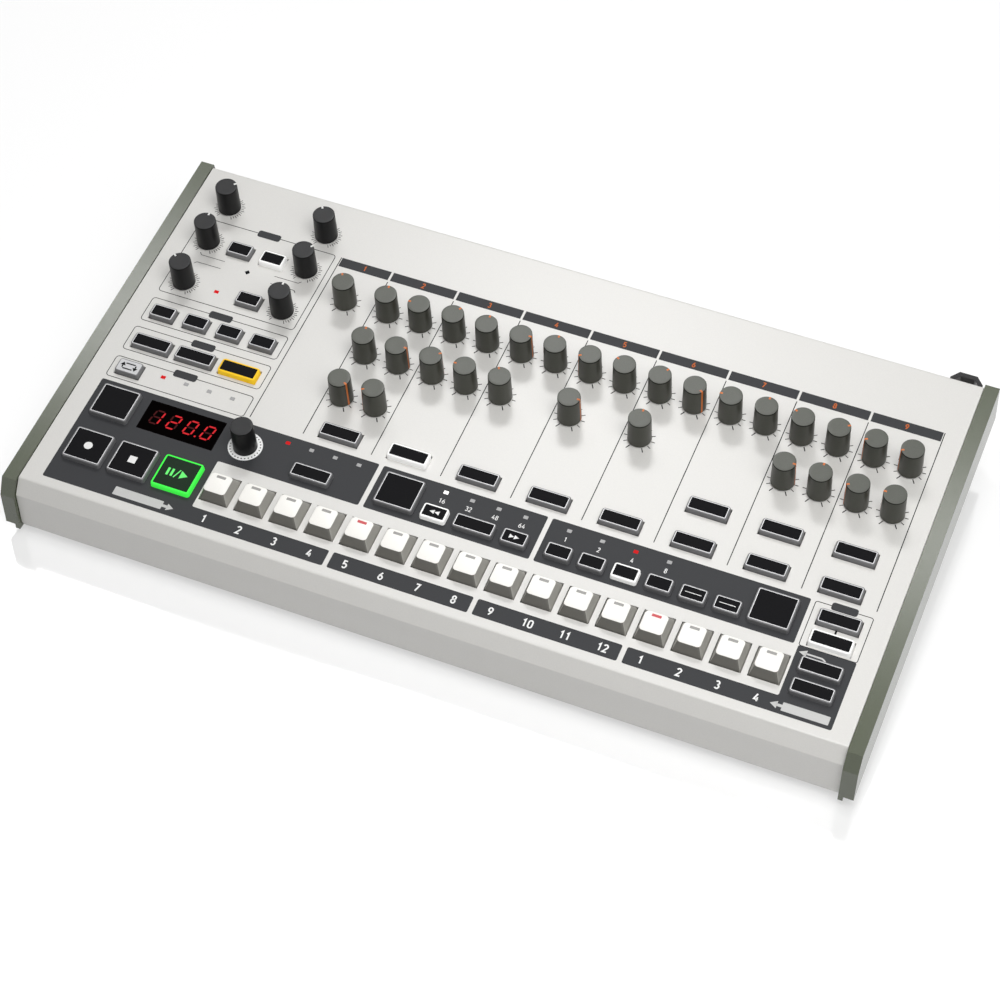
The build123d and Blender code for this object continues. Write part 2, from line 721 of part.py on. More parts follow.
# Rear sockets: bodies behind the rear panel, their collars standing in its holes
behind_panel = -sheet
with BuildPart() as rear_sockets:
    for kind, (radius, width, height, depth) in round_sockets.items():
        for column in columns[kind]:
            with BuildSketch(on_face(column, behind_panel)) as socket_body:
                Rectangle(width, height)
                Circle(radius, mode=Mode.SUBTRACT)
            extrude(amount=-depth)
            with BuildSketch(on_face(column, behind_panel)) as collar:
                RegularPolygon(radius + socket_lip, socket_hole_sides, major_radius=False)
                Circle(radius, mode=Mode.SUBTRACT)
            extrude(amount=sheet + socket_lip)
    with BuildSketch(on_face(usb_column, socket_lip)) as usb_shell:
        Rectangle(usb_width, usb_height)
        Rectangle(usb_width - 2 * usb_wall, usb_height - 2 * usb_wall, mode=Mode.SUBTRACT)
    extrude(amount=-usb_depth)
    with BuildSketch(on_face(usb_column, socket_lip - usb_depth)) as usb_end:
        Rectangle(usb_width, usb_height)
    extrude(amount=-usb_wall)
    with BuildSketch(on_face(inlet_column, behind_panel)) as inlet_body:
        Rectangle(mini_body_width, mini_body_width)
        RegularPolygon(inlet_radius, inlet_sides, mode=Mode.SUBTRACT)
        RegularPolygon(inlet_pin_radius, inlet_sides)
    extrude(amount=-mini_body_depth)
    with BuildSketch(on_face(inlet_column, behind_panel - mini_body_depth)) as inlet_end:
        Rectangle(mini_body_width, mini_body_width)
    extrude(amount=-socket_lip)
    with BuildSketch(on_face(rocker_column, socket_lip)) as rocker_frame:
        Rectangle(rocker_width, rocker_height)
        Rectangle(
            rocker_width - 2 * rocker_wall,
            rocker_height - 2 * rocker_wall,
            mode=Mode.SUBTRACT,
        )
    extrude(amount=-rocker_depth)
    with BuildSketch(on_face(rocker_column, socket_lip - rocker_depth)) as rocker_back:
        Rectangle(rocker_width, rocker_height)
    extrude(amount=-rocker_wall)
    with BuildSketch(across_face(rocker_column, 0, -rocker_pivot_drop)) as pivot_hole:
        RegularPolygon(rocker_pivot_radius + pivot_clearance, screw_sides, major_radius=False)
    extrude(amount=rocker_height, both=True, mode=Mode.SUBTRACT)
write(rear_sockets.part, "rear_sockets")

# Power rocker: two faces meeting in a shallow valley, on a pin held by the frame's walls
rocker_half_width = rocker_width / 2 - rocker_wall - rocker_gap
rocker_half_height = rocker_height / 2 - rocker_wall - rocker_gap
rocker_crest = rocker_valley + rocker_half_width * tan(radians(rocker_angle))
rocker_profile = [
    (-rocker_half_width, 0),
    (-rocker_half_width, rocker_crest),
    (0, rocker_valley),
    (rocker_half_width, rocker_crest),
    (rocker_half_width, 0),
    (rocker_keel_width / 2, -rocker_keel),
    (-rocker_keel_width / 2, -rocker_keel),
]
pivot_plane = across_face(rocker_column, 0, -rocker_pivot_drop, -rocker_angle)
with BuildPart() as power_rocker:
    with BuildSketch(pivot_plane) as rocker_section:
        Polygon(*rocker_profile, align=None)
    extrude(amount=rocker_half_height, both=True)
    with BuildSketch(pivot_plane) as rocker_pin:
        RegularPolygon(rocker_pivot_radius, screw_sides)
    extrude(amount=rocker_height / 2 - pin_inset, both=True)
write(power_rocker.part, "power_rocker")

# Cable clip: an open arch whose legs turn in at the shoulder
clip_line = [
    (-clip_width / 2, 0),
    (-clip_width / 2, clip_leg_height),
    (-clip_top_width / 2, clip_reach),
    (clip_top_width / 2, clip_reach),
    (clip_width / 2, clip_leg_height),
    (clip_width / 2, 0),
]
with BuildPart() as cable_clip:
    with BuildSketch(across_face(clip_column, clip_rise, 0)) as clip_section:
        with BuildLine():
            Polyline(*clip_line)
            offset(amount=clip_wall, side=Side.RIGHT)
        make_face()
    extrude(amount=clip_height / 2, both=True)
write(cable_clip.part, "cable_clip")

# Knobs: a tapered cap on a splined shaft, with a pointer slot cut over the rim
knob_draft = degrees(atan2(knob_base_radius - knob_top_radius, knob_top - knob_lift))
with BuildPart() as plain_knob:
    with BuildSketch(Plane.XY.offset(knob_lift)):
        RegularPolygon(knob_base_radius, knob_sides)
    extrude(amount=knob_top - knob_lift, taper=knob_draft)
    with BuildSketch(Plane.XY.offset(-shaft_depth)):
        RegularPolygon(shaft_radius, shaft_sides)
    extrude(amount=shaft_depth + knob_lift)

with BuildPart() as pointer_knob:
    add(plain_knob.part)
    with BuildSketch(Plane.XY.offset(knob_top)):
        with Locations((0, knob_top_radius)):
            Rectangle(pointer_width, 2 * pointer_length)
    extrude(amount=-pointer_drop, mode=Mode.SUBTRACT)

for name, (u, v, angle) in knobs.items():
    shape = plain_knob if name == "data_encoder_knob" else pointer_knob
    write(shape.part.moved(on_panel(u, v, 0, -angle).location), name)


def cut_corners(width, depth, corner):
    """Rectangle with its corners cut off at 45 degrees, as sketch points."""
    x, y = width / 2, depth / 2
    return [
        (-x + corner, -y),
        (x - corner, -y),
        (x, -y + corner),
        (x, y - corner),
        (x - corner, y),
        (-x + corner, y),
        (-x, y - corner),
        (-x, -y + corner),
    ]


def button_cap(width, depth):
    """Hollow cap around its switch; its origin is at the panel's surface."""
    pocket = switch_width + 2 * switch_clearance
    roof_drop = switch_drop - button_travel - button_roof_clearance
    cap_height = button_skirt + button_height
    with BuildPart() as cap:
        with BuildSketch(Plane.XY.offset(-button_skirt)):
            Polygon(*cut_corners(width, depth, button_corner), align=None)
        extrude(amount=cap_height, taper=degrees(atan2(button_taper, cap_height)))
        with BuildSketch(Plane.XY.offset(-button_skirt)):
            Rectangle(pocket, pocket)
        extrude(amount=button_skirt - roof_drop, mode=Mode.SUBTRACT)
    return cap.part


def placed(shapes, name):
    """Write one node made of separate solids, each (shape, u, v) set down on the panel."""
    solids = [shape.moved(on_panel(u, v).location) for shape, u, v in shapes]
    write(Compound(children=solids), name)


# Push buttons: hollow caps that slide in the panel's openings, over their switches
sizes = {(width, depth) for u, v, width, depth in all_buttons}
caps = {size: button_cap(*size) for size in sizes}
for name, group in buttons.items():
    placed([(caps[width, depth], u, v) for u, v, width, depth in group], name)

# Step keys: tapered hollow caps with a recessed lens near the top's rear edge
key_pocket = key_switch_width + 2 * key_clearance
key_roof_height = key_travel + key_roof_clearance - key_switch_drop
lens_v = key_top_shift + key_top_depth / 2 - lens_inset - lens_depth / 2
with BuildPart() as step_key:
    Wedge(
        key_width,
        key_height,
        key_depth,
        (key_width - key_top_width) / 2,
        (key_depth - key_top_depth) / 2 - key_top_shift,
        (key_width + key_top_width) / 2,
        (key_depth + key_top_depth) / 2 - key_top_shift,
        rotation=(90, 0, 0),
        align=(Align.CENTER, Align.MIN, Align.CENTER),
    )
    slanted = [edge for edge in step_key.edges() if edge.bounding_box().size.Z > key_height / 2]
    chamfer(slanted, key_corner)
    with BuildSketch(Plane.XY.offset(-key_skirt)):
        Polygon(*cut_corners(key_width, key_depth, key_corner), align=None)
    extrude(amount=key_skirt)
    with BuildSketch(Plane.XY.offset(-key_skirt)):
        Rectangle(key_pocket, key_pocket)
    extrude(amount=key_skirt + key_roof_height, mode=Mode.SUBTRACT)
    with BuildSketch(Plane.XY.offset(key_height)):
        with Locations((0, lens_v)):
            Rectangle(lens_width, lens_depth)
    extrude(amount=-lens_recess, mode=Mode.SUBTRACT)

for first in range(0, key_count, key_group):
    last = first + key_group
    keys = [(step_key.part, u, key_row) for u in key_columns[first:last]]
    placed(keys, f"step_keys_{first + 1}_to_{last}")
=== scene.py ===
"""Looks of a desktop drum machine: painted case, printed panel, knobs, buttons, keys and lights.

Places on the panel are (u, v) in millimetres: u from the left edge, v up the slope from the front.
"""

import json

import bpy
import numpy as np
from mathutils import Matrix, Vector


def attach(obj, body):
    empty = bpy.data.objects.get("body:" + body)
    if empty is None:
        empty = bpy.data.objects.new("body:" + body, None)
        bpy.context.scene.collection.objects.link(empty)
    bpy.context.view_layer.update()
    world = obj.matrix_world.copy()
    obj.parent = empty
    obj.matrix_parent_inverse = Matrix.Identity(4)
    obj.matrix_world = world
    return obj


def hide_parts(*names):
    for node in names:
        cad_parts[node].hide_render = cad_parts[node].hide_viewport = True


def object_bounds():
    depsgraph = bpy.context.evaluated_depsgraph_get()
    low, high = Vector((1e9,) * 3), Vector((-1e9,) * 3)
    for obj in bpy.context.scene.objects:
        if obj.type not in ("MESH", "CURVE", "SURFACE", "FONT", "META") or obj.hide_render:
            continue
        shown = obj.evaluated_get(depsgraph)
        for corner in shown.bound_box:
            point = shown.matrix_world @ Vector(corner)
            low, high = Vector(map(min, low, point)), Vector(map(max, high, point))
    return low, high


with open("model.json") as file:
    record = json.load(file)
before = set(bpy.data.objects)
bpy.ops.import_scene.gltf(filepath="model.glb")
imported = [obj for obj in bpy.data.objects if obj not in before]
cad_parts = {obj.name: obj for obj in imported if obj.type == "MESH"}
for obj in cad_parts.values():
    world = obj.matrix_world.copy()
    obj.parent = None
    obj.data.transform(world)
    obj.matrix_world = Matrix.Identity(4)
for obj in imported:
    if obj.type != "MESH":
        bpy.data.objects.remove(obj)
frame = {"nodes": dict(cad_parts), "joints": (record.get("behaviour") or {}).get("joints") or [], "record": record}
cad_low, cad_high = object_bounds()
record = frame["record"]

# ---------------------------------------------------------------- sizes, in millimetres
MM = 0.001

# Case: the panel starts at the bend above the front wall
PANEL_WIDTH = 481.0
PANEL_SLOPE = np.radians(5.5)
BEND_HEIGHT = 41.0
CHEEK_FRONT_REACH = 8.1
BEND_Y = cad_low.y / MM + CHEEK_FRONT_REACH

ACROSS = np.array([1.0, 0.0, 0.0])
UP_SLOPE = np.array([0.0, np.cos(PANEL_SLOPE), np.sin(PANEL_SLOPE)])
OUTWARD = np.array([0.0, -np.sin(PANEL_SLOPE), np.cos(PANEL_SLOPE)])
FRONT_LEFT = np.array([-PANEL_WIDTH / 2, BEND_Y, BEND_HEIGHT])

# Print, in heights above the paint
PRINT_LIFT = 0.03
MARK_LIFT = 0.06
DOT_LIFT = 0.08

# Knob caps: radii and heights, and the levels of the profile that are side and rounded edge
KNOB_BASE = 6.85
KNOB_TOP = 6.5
KNOB_FOOT = 0.85
KNOB_UNDERCUT = 0.5
KNOB_HEIGHT = 18.9
KNOB_RIM = 0.25
KNOB_SIDE_LEVELS = 6
KNOB_EDGE_LEVELS = 3
KNOB_SIDES = 56
DISH_RADII = np.array([4.6, 2.4, 0.6])
DISH_DEPTHS = np.array([0.03, 0.05, 0.06])
HALF_TURN = 150.0  # degrees from straight up to either end of a knob's marks
LEFT_BLOCK = 100.0  # the knobs left of this column are black

# Pointers: a strip let into the cap, which stands a little proud of it
POINTER_WIDTH = 1.05
POINTER_LIFT = 0.05
POINTER_SINK = 0.3
POINTER_REACH = 1.75  # from the top's edge to the pointer's inner end

# Button caps: heights, rounded edge and label, and width and depth of each kind
BUTTON_HEIGHT = 3.15
BUTTON_FOOT = -6.8
BUTTON_CORNER = 1.5
BUTTON_EDGE = 0.6
BUTTON_TAPER = 0.25
EDGE_LINE = 0.4
LABEL_SINK = 0.3
CAP_LIFT = BUTTON_HEIGHT + 0.06
LOW_DEPTH = 9.8
SMALL = (15.2, LOW_DEPTH)
WIDE = (23.8, LOW_DEPTH)
SQUARE = (23.8, 22.0)

# Columns, from the panel's left edge
KEY_COUNT = 16
KEY_GROUP = 4
LIT_KEYS = (4, 12)
FIRST_KEY = 109.4
KEY_PITCH = 21.2
FIRST_SMALL = 24.0
FIRST_SECTION = 156.45
SECTION_PITCH = 41.7
FIRST_BANK = 299.4
BANK_PITCH = 19.18
LENGTH_PITCH = 15.7
FIRST_SYNC_LAMP = 44.3
SYNC_LAMP_PITCH = 14.6
FIRST_DATA_LAMP = 131.0
DATA_LAMP_PITCH = 14.45
BACK_COLUMN = 226.85
FORWARD_COLUMN = 273.8
WIDE_COLUMNS = (152.8, 250.3)
SQUARE_COLUMNS = (203.3, 418.75)
RIGHT_COLUMN = 453.4

# Rows, from the panel's front edge
NUMBER_ROW = 11.0
SETUP_ROWS = (37.6, 23.8)
TRANSPORT_ROW = 31.3
KEY_ROW = 31.65
TRACK_ROWS = (69.3, 55.5)
PATTERN_ROW = 57.9
SQUARE_ROW = 64.1
LAMP_NUMBER_ROW = 68.2
PATTERN_LAMP_ROW = 74.2
DATA_LAMP_ROW = 74.3
VOICE_ROWS = (89.15, 113.55)
LOOP_ROW = 89.6
SYNC_LAMP_ROW = 91.7
MODE_ROW = 110.0
SYNC_ROW = 133.0
SHAPER_ROW = 159.2
FILTER_ROW = 192.1


# ---------------------------------------------------------------- places and meshes
def columns(first, pitch, count):
    """Columns from the first one on, an even pitch apart."""
    return [first + pitch * i for i in range(count)]


def on_panel(u, v, height):
    """Metres from panel millimetres: the front left corner, u across, v up the slope, height out."""
    u, v, height = np.broadcast_arrays(*(np.asarray(a, float) for a in (u, v, height)))
    steps = u[..., None] * ACROSS + v[..., None] * UP_SLOPE + height[..., None] * OUTWARD
    return MM * (FRONT_LEFT + steps)


def rounded_outline(width, depth, corner, steps=5):
    """Closed rectangle outline with a quarter circle at each corner.

    A quarter circle is its middle plus the corner's radius times cosine and sine of the angle.
    """
    turn = np.linspace(0.0, np.pi / 2, steps)
    quarters = np.arange(4)[:, None] * np.pi / 2
    angle = turn[None, :] + quarters
    middle_x = (width / 2 - corner) * np.sign(np.cos(quarters + np.pi / 4))
    middle_y = (depth / 2 - corner) * np.sign(np.sin(quarters + np.pi / 4))
    x = middle_x + corner * np.cos(angle)
    y = middle_y + corner * np.sin(angle)
    return np.stack([x.ravel(), y.ravel()], axis=1)


def rounded_polygon(corners, radius, steps=5):
    """Closed outline of any polygon: each corner is a quadratic curve from one side to the next.

    The curve is (1 - t) squared times its start, 2 t (1 - t) times the corner, and t squared times
    its end, where start and end lie the radius away from the corner.
    """
    corners = np.asarray(corners, float)
    before = np.roll(corners, 1, axis=0) - corners
    after = np.roll(corners, -1, axis=0) - corners
    before /= np.linalg.norm(before, axis=1)[:, None]
    after /= np.linalg.norm(after, axis=1)[:, None]
    blend = np.linspace(0.0, 1.0, steps)[None, :, None]
    start = corners + radius * before
    end = corners + radius * after
    curve = (1 - blend) ** 2 * start[:, None] + blend**2 * end[:, None]
    curve = curve + 2 * blend * (1 - blend) * corners[:, None]
    return curve.reshape(-1, 2)


def ring_faces(levels, count):
    """Quads that join each closed ring of points to the next: two neighbours and the two above them."""
    here = np.arange(levels - 1)[:, None] * count + np.arange(count)[None, :]
    right = np.arange(levels - 1)[:, None] * count + (np.arange(count)[None, :] + 1) % count
    quads = np.stack([here, right, right + count, here + count], axis=-1)
    return quads.reshape(-1, 4).tolist()


def stack_faces(levels, count):
    """Side quads of a stack of rings, then its flat top and its flat foot."""
    top = list(range((levels - 1) * count, levels * count))
    foot = list(range(count))[::-1]
    return [*ring_faces(levels, count), top, foot]


def ring_at(outline, height):
    """Flat outline as a ring of points at one height."""
    return np.column_stack([outline, np.full(len(outline), height)])


def stacked(rings):
    """Points and faces of the closed stack of rings, all with the same number of points."""
    return np.concatenate(rings), stack_faces(len(rings), len(rings[0]))


def repeated(copies, faces):
    """One point array and face list for several copies of a shape, each with its own points."""
    size = len(copies[0])
    shifted = [[i + n * size for i in face] for n in range(len(copies)) for face in faces]
    return np.concatenate(copies), shifted


def linked(name, data):
    """New object at the origin, linked to the scene."""
    thing = bpy.data.objects.new(name, data)
    bpy.context.scene.collection.objects.link(thing)
    return thing


def piece(name, points, faces, material, body, sharp=35.0):
    """A mesh object at the origin that rides on a body; edges sharper than the angle stay crisp."""
    mesh = bpy.data.meshes.new(name)
    mesh.from_pydata(np.asarray(points, float).reshape(-1, 3).tolist(), [], faces)
    mesh.shade_smooth()
    mesh.set_sharp_from_angle(angle=np.radians(sharp))
    mesh.materials.append(material)
    mesh.update()
    thing = linked(name, mesh)
    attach(thing, body)
    return thing


def printed(name, outlines, lift, material, body="chassis"):
    """Flat print on the panel or on caps: each outline is one face, set a hair above the surface."""
    points = np.concatenate([on_panel(o[:, 0], o[:, 1], lift) for o in outlines])
    ends = np.cumsum([len(o) for o in outlines])
    faces = [list(range(end - len(o), end)) for o, end in zip(outlines, ends)]
    piece(name, points, faces, material, body)


def outline_band(outline, inner):
    """Quads between two outlines with the same number of points: each side and the side within it."""
    count = len(outline)
    after = np.roll(np.arange(count), -1)
    corners = [outline, outline[after], inner[after], inner]
    return list(np.stack(corners, axis=1))


def moved(outline, u, v):
    """Outline shifted by u and v."""
    return outline + np.array([u, v])


def bar(u0, v0, u1, v1, width):
    """Thin rectangle from one point to the other: each end moved half the width to both sides."""
    start = np.array([u0, v0], float)
    end = np.array([u1, v1], float)
    along = (end - start) / np.linalg.norm(end - start)
    side = width / 2 * np.array([-along[1], along[0]])
    return np.array([start - side, end - side, end + side, start + side])


def block(u0, u1, v0, v1):
    """Rectangle's four corners from its two columns and two rows."""
    return np.array([[u0, v0], [u1, v0], [u1, v1], [u0, v1]], float)


def disc(u, v, radius, count):
    """Circle's outline: the middle plus the radius times cosine and sine of even angles."""
    angle = np.linspace(0, 2 * np.pi, count, endpoint=False)
    return np.stack([u + radius * np.cos(angle), v + radius * np.sin(angle)], axis=1)


# ---------------------------------------------------------------- finishes
ROUGHNESS_DRIFT = 0.05
NOISE_DETAIL = 3.0
NOISE_ENDS = (0.3, 0.7)  # noise at which the colour is darkest and lightest


def finish(name, colour, roughness, grain=900.0, shade=0.06, bump=0.02, gloss=0.5, **more):
    """Principled finish whose colour and roughness drift with fine noise, over a faint bump.

    The colour runs from itself less the share of shade to itself plus that share.
    """
    material = bpy.data.materials.new(name)
    material.use_nodes = True
    nodes = material.node_tree.nodes
    links = material.node_tree.links
    surface = nodes["Principled BSDF"]
    place = nodes.new("ShaderNodeTexCoord")
    noise = nodes.new("ShaderNodeTexNoise")
    noise.inputs["Scale"].default_value = grain
    noise.inputs["Detail"].default_value = NOISE_DETAIL
    links.new(place.outputs["Object"], noise.inputs["Vector"])
    ramp = nodes.new("ShaderNodeValToRGB")
    for element, level, factor in zip(ramp.color_ramp.elements, NOISE_ENDS, (1 - shade, 1 + shade)):
        element.position = level
        element.color = (*(min(1.0, c * factor) for c in colour), 1.0)
    links.new(noise.outputs["Fac"], ramp.inputs["Fac"])
    links.new(ramp.outputs["Color"], surface.inputs["Base Color"])
    spread = nodes.new("ShaderNodeMapRange")
    spread.inputs["To Min"].default_value = roughness - ROUGHNESS_DRIFT
    spread.inputs["To Max"].default_value = roughness + ROUGHNESS_DRIFT
    links.new(noise.outputs["Fac"], spread.inputs["Value"])
    links.new(spread.outputs["Result"], surface.inputs["Roughness"])
    relief = nodes.new("ShaderNodeBump")
    relief.inputs["Strength"].default_value = 1.0
    relief.inputs["Distance"].default_value = bump * MM
    links.new(noise.outputs["Fac"], relief.inputs["Height"])
    links.new(relief.outputs["Normal"], surface.inputs["Normal"])
    surface.inputs["Specular IOR Level"].default_value = gloss
    for socket, value in more.items():
        surface.inputs[socket.replace("_", " ")].default_value = value
    return material


def lit(name, colour, strength, body_colour=None):
    """Moulded plastic that glows evenly from a lamp behind it."""
    material = finish(name, body_colour or colour, 0.4, shade=0.03, bump=0.0, gloss=0.06)
    surface = material.node_tree.nodes["Principled BSDF"]
    surface.inputs["Emission Color"].default_value = (*colour, 1.0)
    surface.inputs["Emission Strength"].default_value = strength
    return material


def ink(name, colour, roughness=0.55, shade=0.04, bump=0.003, gloss=0.3):
    """Screen print, with the finest grain."""
    return finish(name, colour, roughness, 2500, shade, bump, gloss)


def knob_plastic(name, colour, roughness=0.36, shade=0.08, bump=0.006, gloss=0.3):
    """Matt plastic of the knobs."""
    return finish(name, colour, roughness, 2200, shade, bump, gloss)


def cap_plastic(name, colour, roughness=0.4, shade=0.04, bump=0.0, gloss=0.5):
    """Smooth plastic of keys, button caps and small fittings."""
    return finish(name, colour, roughness, 1500, shade, bump, gloss)


case_paint = finish(
    "coated case paint",
    (0.64, 0.63, 0.605),
    0.38,
    grain=1400,
    shade=0.02,
    bump=0.003,
    gloss=0.3,
    Coat_Weight=1.0,
    Coat_IOR=1.5,
    Coat_Roughness=0.38,
)
cheek_plastic = finish(
    "olive cheek plastic",
    (0.048, 0.06, 0.026),
    0.2,
    grain=1800,
    shade=0.08,
    bump=0.003,
    gloss=0.8,
)
window_glass = finish(
    "display window",
    (0.0015, 0.001, 0.001),
    0.5,
    grain=800,
    shade=0.1,
    bump=0.0,
    gloss=0.02,
    IOR=1.1,
)
rubber = finish("black rubber", (0.02, 0.02, 0.02), 0.8, shade=0.15, bump=0.04)
board_green = finish("board lacquer", (0.02, 0.09, 0.04), 0.4, grain=600, shade=0.2, bump=0.01)
nut_metal = finish("nickel nuts", (0.62, 0.61, 0.58), 0.25, 1500, 0.05, 0.004, Metallic=1.0)
screw_metal = finish("zinc screws", (0.5, 0.5, 0.5), 0.35, 1500, 0.08, 0.01, Metallic=1.0)

charcoal_ink = ink("charcoal ink", (0.038, 0.039, 0.042), 0.5, shade=0.05, gloss=0.15)
dark_ink = ink("dark line ink", (0.01, 0.01, 0.011), 0.6, shade=0.05, bump=0.0, gloss=0.05)
flag_ink = ink("grey flag ink", (0.56, 0.56, 0.55))
pale_ink = ink("pale ink", (0.84, 0.84, 0.83))
orange_ink = ink("orange ink", (0.55, 0.13, 0.03), gloss=0.2)

olive_knob = knob_plastic("olive knob plastic", (0.085, 0.0885, 0.075))
# Knob sides and rounded edges are the top's plastic, painted darker as shade
olive_side_painted_shade = knob_plastic("olive knob side painted shade", (0.05, 0.051, 0.04), 0.34)
olive_edge_painted_shade = knob_plastic("olive knob edge painted shade", (0.018, 0.019, 0.016), 0.5, bump=0.004, gloss=0.1)
black_knob = knob_plastic("black knob plastic", (0.02, 0.02, 0.021), gloss=0.2)
black_side_painted_shade = knob_plastic("black knob side painted shade", (0.008, 0.008, 0.0085), 0.34, gloss=0.16)
black_edge_painted_shade = knob_plastic("black knob edge painted shade", (0.008, 0.008, 0.008), 0.5, bump=0.004, gloss=0.1)
orange_line = knob_plastic("orange pointer plastic", (0.6, 0.16, 0.035), 0.45, 0.04, 0.01)
white_line = knob_plastic("white pointer plastic", (0.8, 0.8, 0.78), 0.45, 0.04, 0.01, 0.5)

key_top = cap_plastic("cream key plastic", (0.9, 0.885, 0.84), 0.38, shade=0.012, bump=0.004)
# Key skirts are the cream key plastic with painted shade: dark on front and back, lighter on the flanks
key_side_painted_shade = cap_plastic("key side painted shade", (0.135, 0.13, 0.115), 0.45, shade=0.03, bump=0.006)
key_flank_painted_shade = cap_plastic("key flank lighter painted shade", (0.36, 0.35, 0.32), 0.45, shade=0.03, bump=0.006)
rim_plastic = cap_plastic("silver grey cap plastic", (0.155, 0.155, 0.16), 0.32, shade=0.05, bump=0.004)
rim_edge = cap_plastic("bright cap edge", (0.76, 0.76, 0.77), 0.3, bump=0.002)
label_black = cap_plastic("black cap label", (0.008, 0.008, 0.009), 0.5, shade=0.1, gloss=0.03)
clip_black = cap_plastic("black clip plastic", (0.014, 0.014, 0.015), 0.32, 0.1, 0.01, 0.3)
socket_black = cap_plastic("socket plastic", (0.012, 0.012, 0.012), shade=0.1, bump=0.01)
lamp_dark = cap_plastic("unlit lamp plastic", (0.34, 0.34, 0.34))
grey_lens = cap_plastic("grey key lens", (0.3, 0.295, 0.28))
pale_label = cap_plastic("grey cap label", (0.6, 0.6, 0.61), bump=0.003)
green_label = cap_plastic("label lit green", (0.006, 0.02, 0.008), shade=0.1, gloss=0.1)

red_lamp = lit("red lamp", (0.6, 0.008, 0.01), 1.0, (0.05, 0.001, 0.001))
white_lamp = lit("white lamp", (1.0, 1.0, 0.98), 0.7)
pink_lens = lit("red key lens", (0.7, 0.09, 0.1), 0.2, (0.5, 0.1, 0.11))
segment_lit = lit("lit segment", (0.68, 0.018, 0.025), 1.0, (0.02, 0.001, 0.001))
# Unlit display segments are near black and given a faint painted glow, so they show dark red
unlit_segment_painted_glow = lit("unlit segment painted glow", (0.05, 0.001, 0.002), 1.0, (0.005, 0.001, 0.001))
white_cap = lit("lit white cap", (0.9, 0.9, 0.88), 0.3, (0.8, 0.8, 0.79))
yellow_cap = lit("lit yellow cap", (0.95, 0.6, 0.03), 0.25, (0.8, 0.5, 0.025))
green_cap = lit("lit green cap", (0.06, 1.0, 0.08), 0.62, (0.04, 0.5, 0.05))
green_mark = lit("green mark", (0.16, 0.9, 0.2), 0.75, (0.05, 0.3, 0.06))


def paint_nodes(material, *names):
    """Give the named nodes the one material."""
    for name in names:
        slots = frame["nodes"][name].data.materials
        slots.clear()
        slots.append(material)


paint_nodes(case_paint, "top_cover", "rear_panel", "bottom_tray")
paint_nodes(cheek_plastic, "left_cheek", "right_cheek")
paint_nodes(board_green, "control_board", "voice_board")
paint_nodes(socket_black, "potentiometers", "push_switches", "rear_sockets", "power_rocker")
paint_nodes(rubber, "rubber_feet")
paint_nodes(screw_metal, "case_screws")
paint_nodes(clip_black, "cable_clip")


# ---------------------------------------------------------------- knobs
def knob_profile():
    """Radius and height along the cap: foot, straight taper, rounded rim, faintly dished top.

    The taper blends the foot's radius into the top's by the share of the height, and the rim is a
    quarter circle: its middle plus its radius times cosine and sine.
    """
    turn = np.linspace(0.0, np.pi / 2, 5)
    share = np.append(np.linspace(0.0, 0.8, KNOB_SIDE_LEVELS - 1), 0.96)
    side_radius = KNOB_BASE + (KNOB_TOP - KNOB_BASE) * share
    side_height = KNOB_FOOT + (KNOB_HEIGHT - KNOB_RIM - KNOB_FOOT) * share
    rim_radius = KNOB_TOP - KNOB_RIM * (1 - np.cos(turn))
    rim_height = KNOB_HEIGHT - KNOB_RIM * (1 - np.sin(turn))
    radius = np.concatenate([[KNOB_BASE - KNOB_UNDERCUT], side_radius, rim_radius, DISH_RADII])
    height = np.concatenate([[KNOB_FOOT], side_height, rim_height, KNOB_HEIGHT - DISH_DEPTHS])
    return radius, height


def knob_points(u, v, radius, height, angle):
    """Surface of revolution: each radius of the profile times cosine and sine, at its height."""
    return on_panel(
        u + radius[:, None] * np.cos(angle)[None, :],
        v + radius[:, None] * np.sin(angle)[None, :],
        height[:, None] + 0 * angle[None, :],
    )


def pointer_points(u, v, heading):
    """Strip along the profile, up the side, over the rim and in over the top.

    Its four edges are the profile's points plus half the width to both sides, sunk and raised: out
    along the radius on the side, and up on the top.
    """
    radius, height = knob_profile()
    side_and_rim = slice(1, -3)
    radius = np.append(radius[side_and_rim], KNOB_TOP - POINTER_REACH)
    height = np.append(height[side_and_rim], KNOB_HEIGHT - 0.02)
    on_side = (height < KNOB_HEIGHT - 0.2)[:, None]
    across = POINTER_WIDTH * np.array([-0.5, -0.5, 0.5, 0.5])
    raised = np.array([-POINTER_SINK, POINTER_LIFT, POINTER_LIFT, -POINTER_SINK])
    out = radius[:, None] + np.where(on_side, raised, 0.0)
    up = height[:, None] + np.where(on_side, 0.0, raised)
    east, north = np.sin(heading), np.cos(heading)
    return on_panel(
        u + out * east + across[None, :] * north,
        v + out * north - across[None, :] * east,
        up,
    )


def panel_place(position):
    """Panel u and v of a point given in metres: its step from the corner, across and up the slope."""
    step = np.asarray(position, float) / MM - FRONT_LEFT
    return step @ ACROSS, step @ UP_SLOPE


# Finishes of a knob's top, side, edge and pointer: side and rounded edge are the top's plastic with painted shade,
# the edge darkest
OLIVE_KNOB = (olive_knob, olive_side_painted_shade, olive_edge_painted_shade, orange_line)
BLACK_KNOB = (black_knob, black_side_painted_shade, black_edge_painted_shade, white_line)


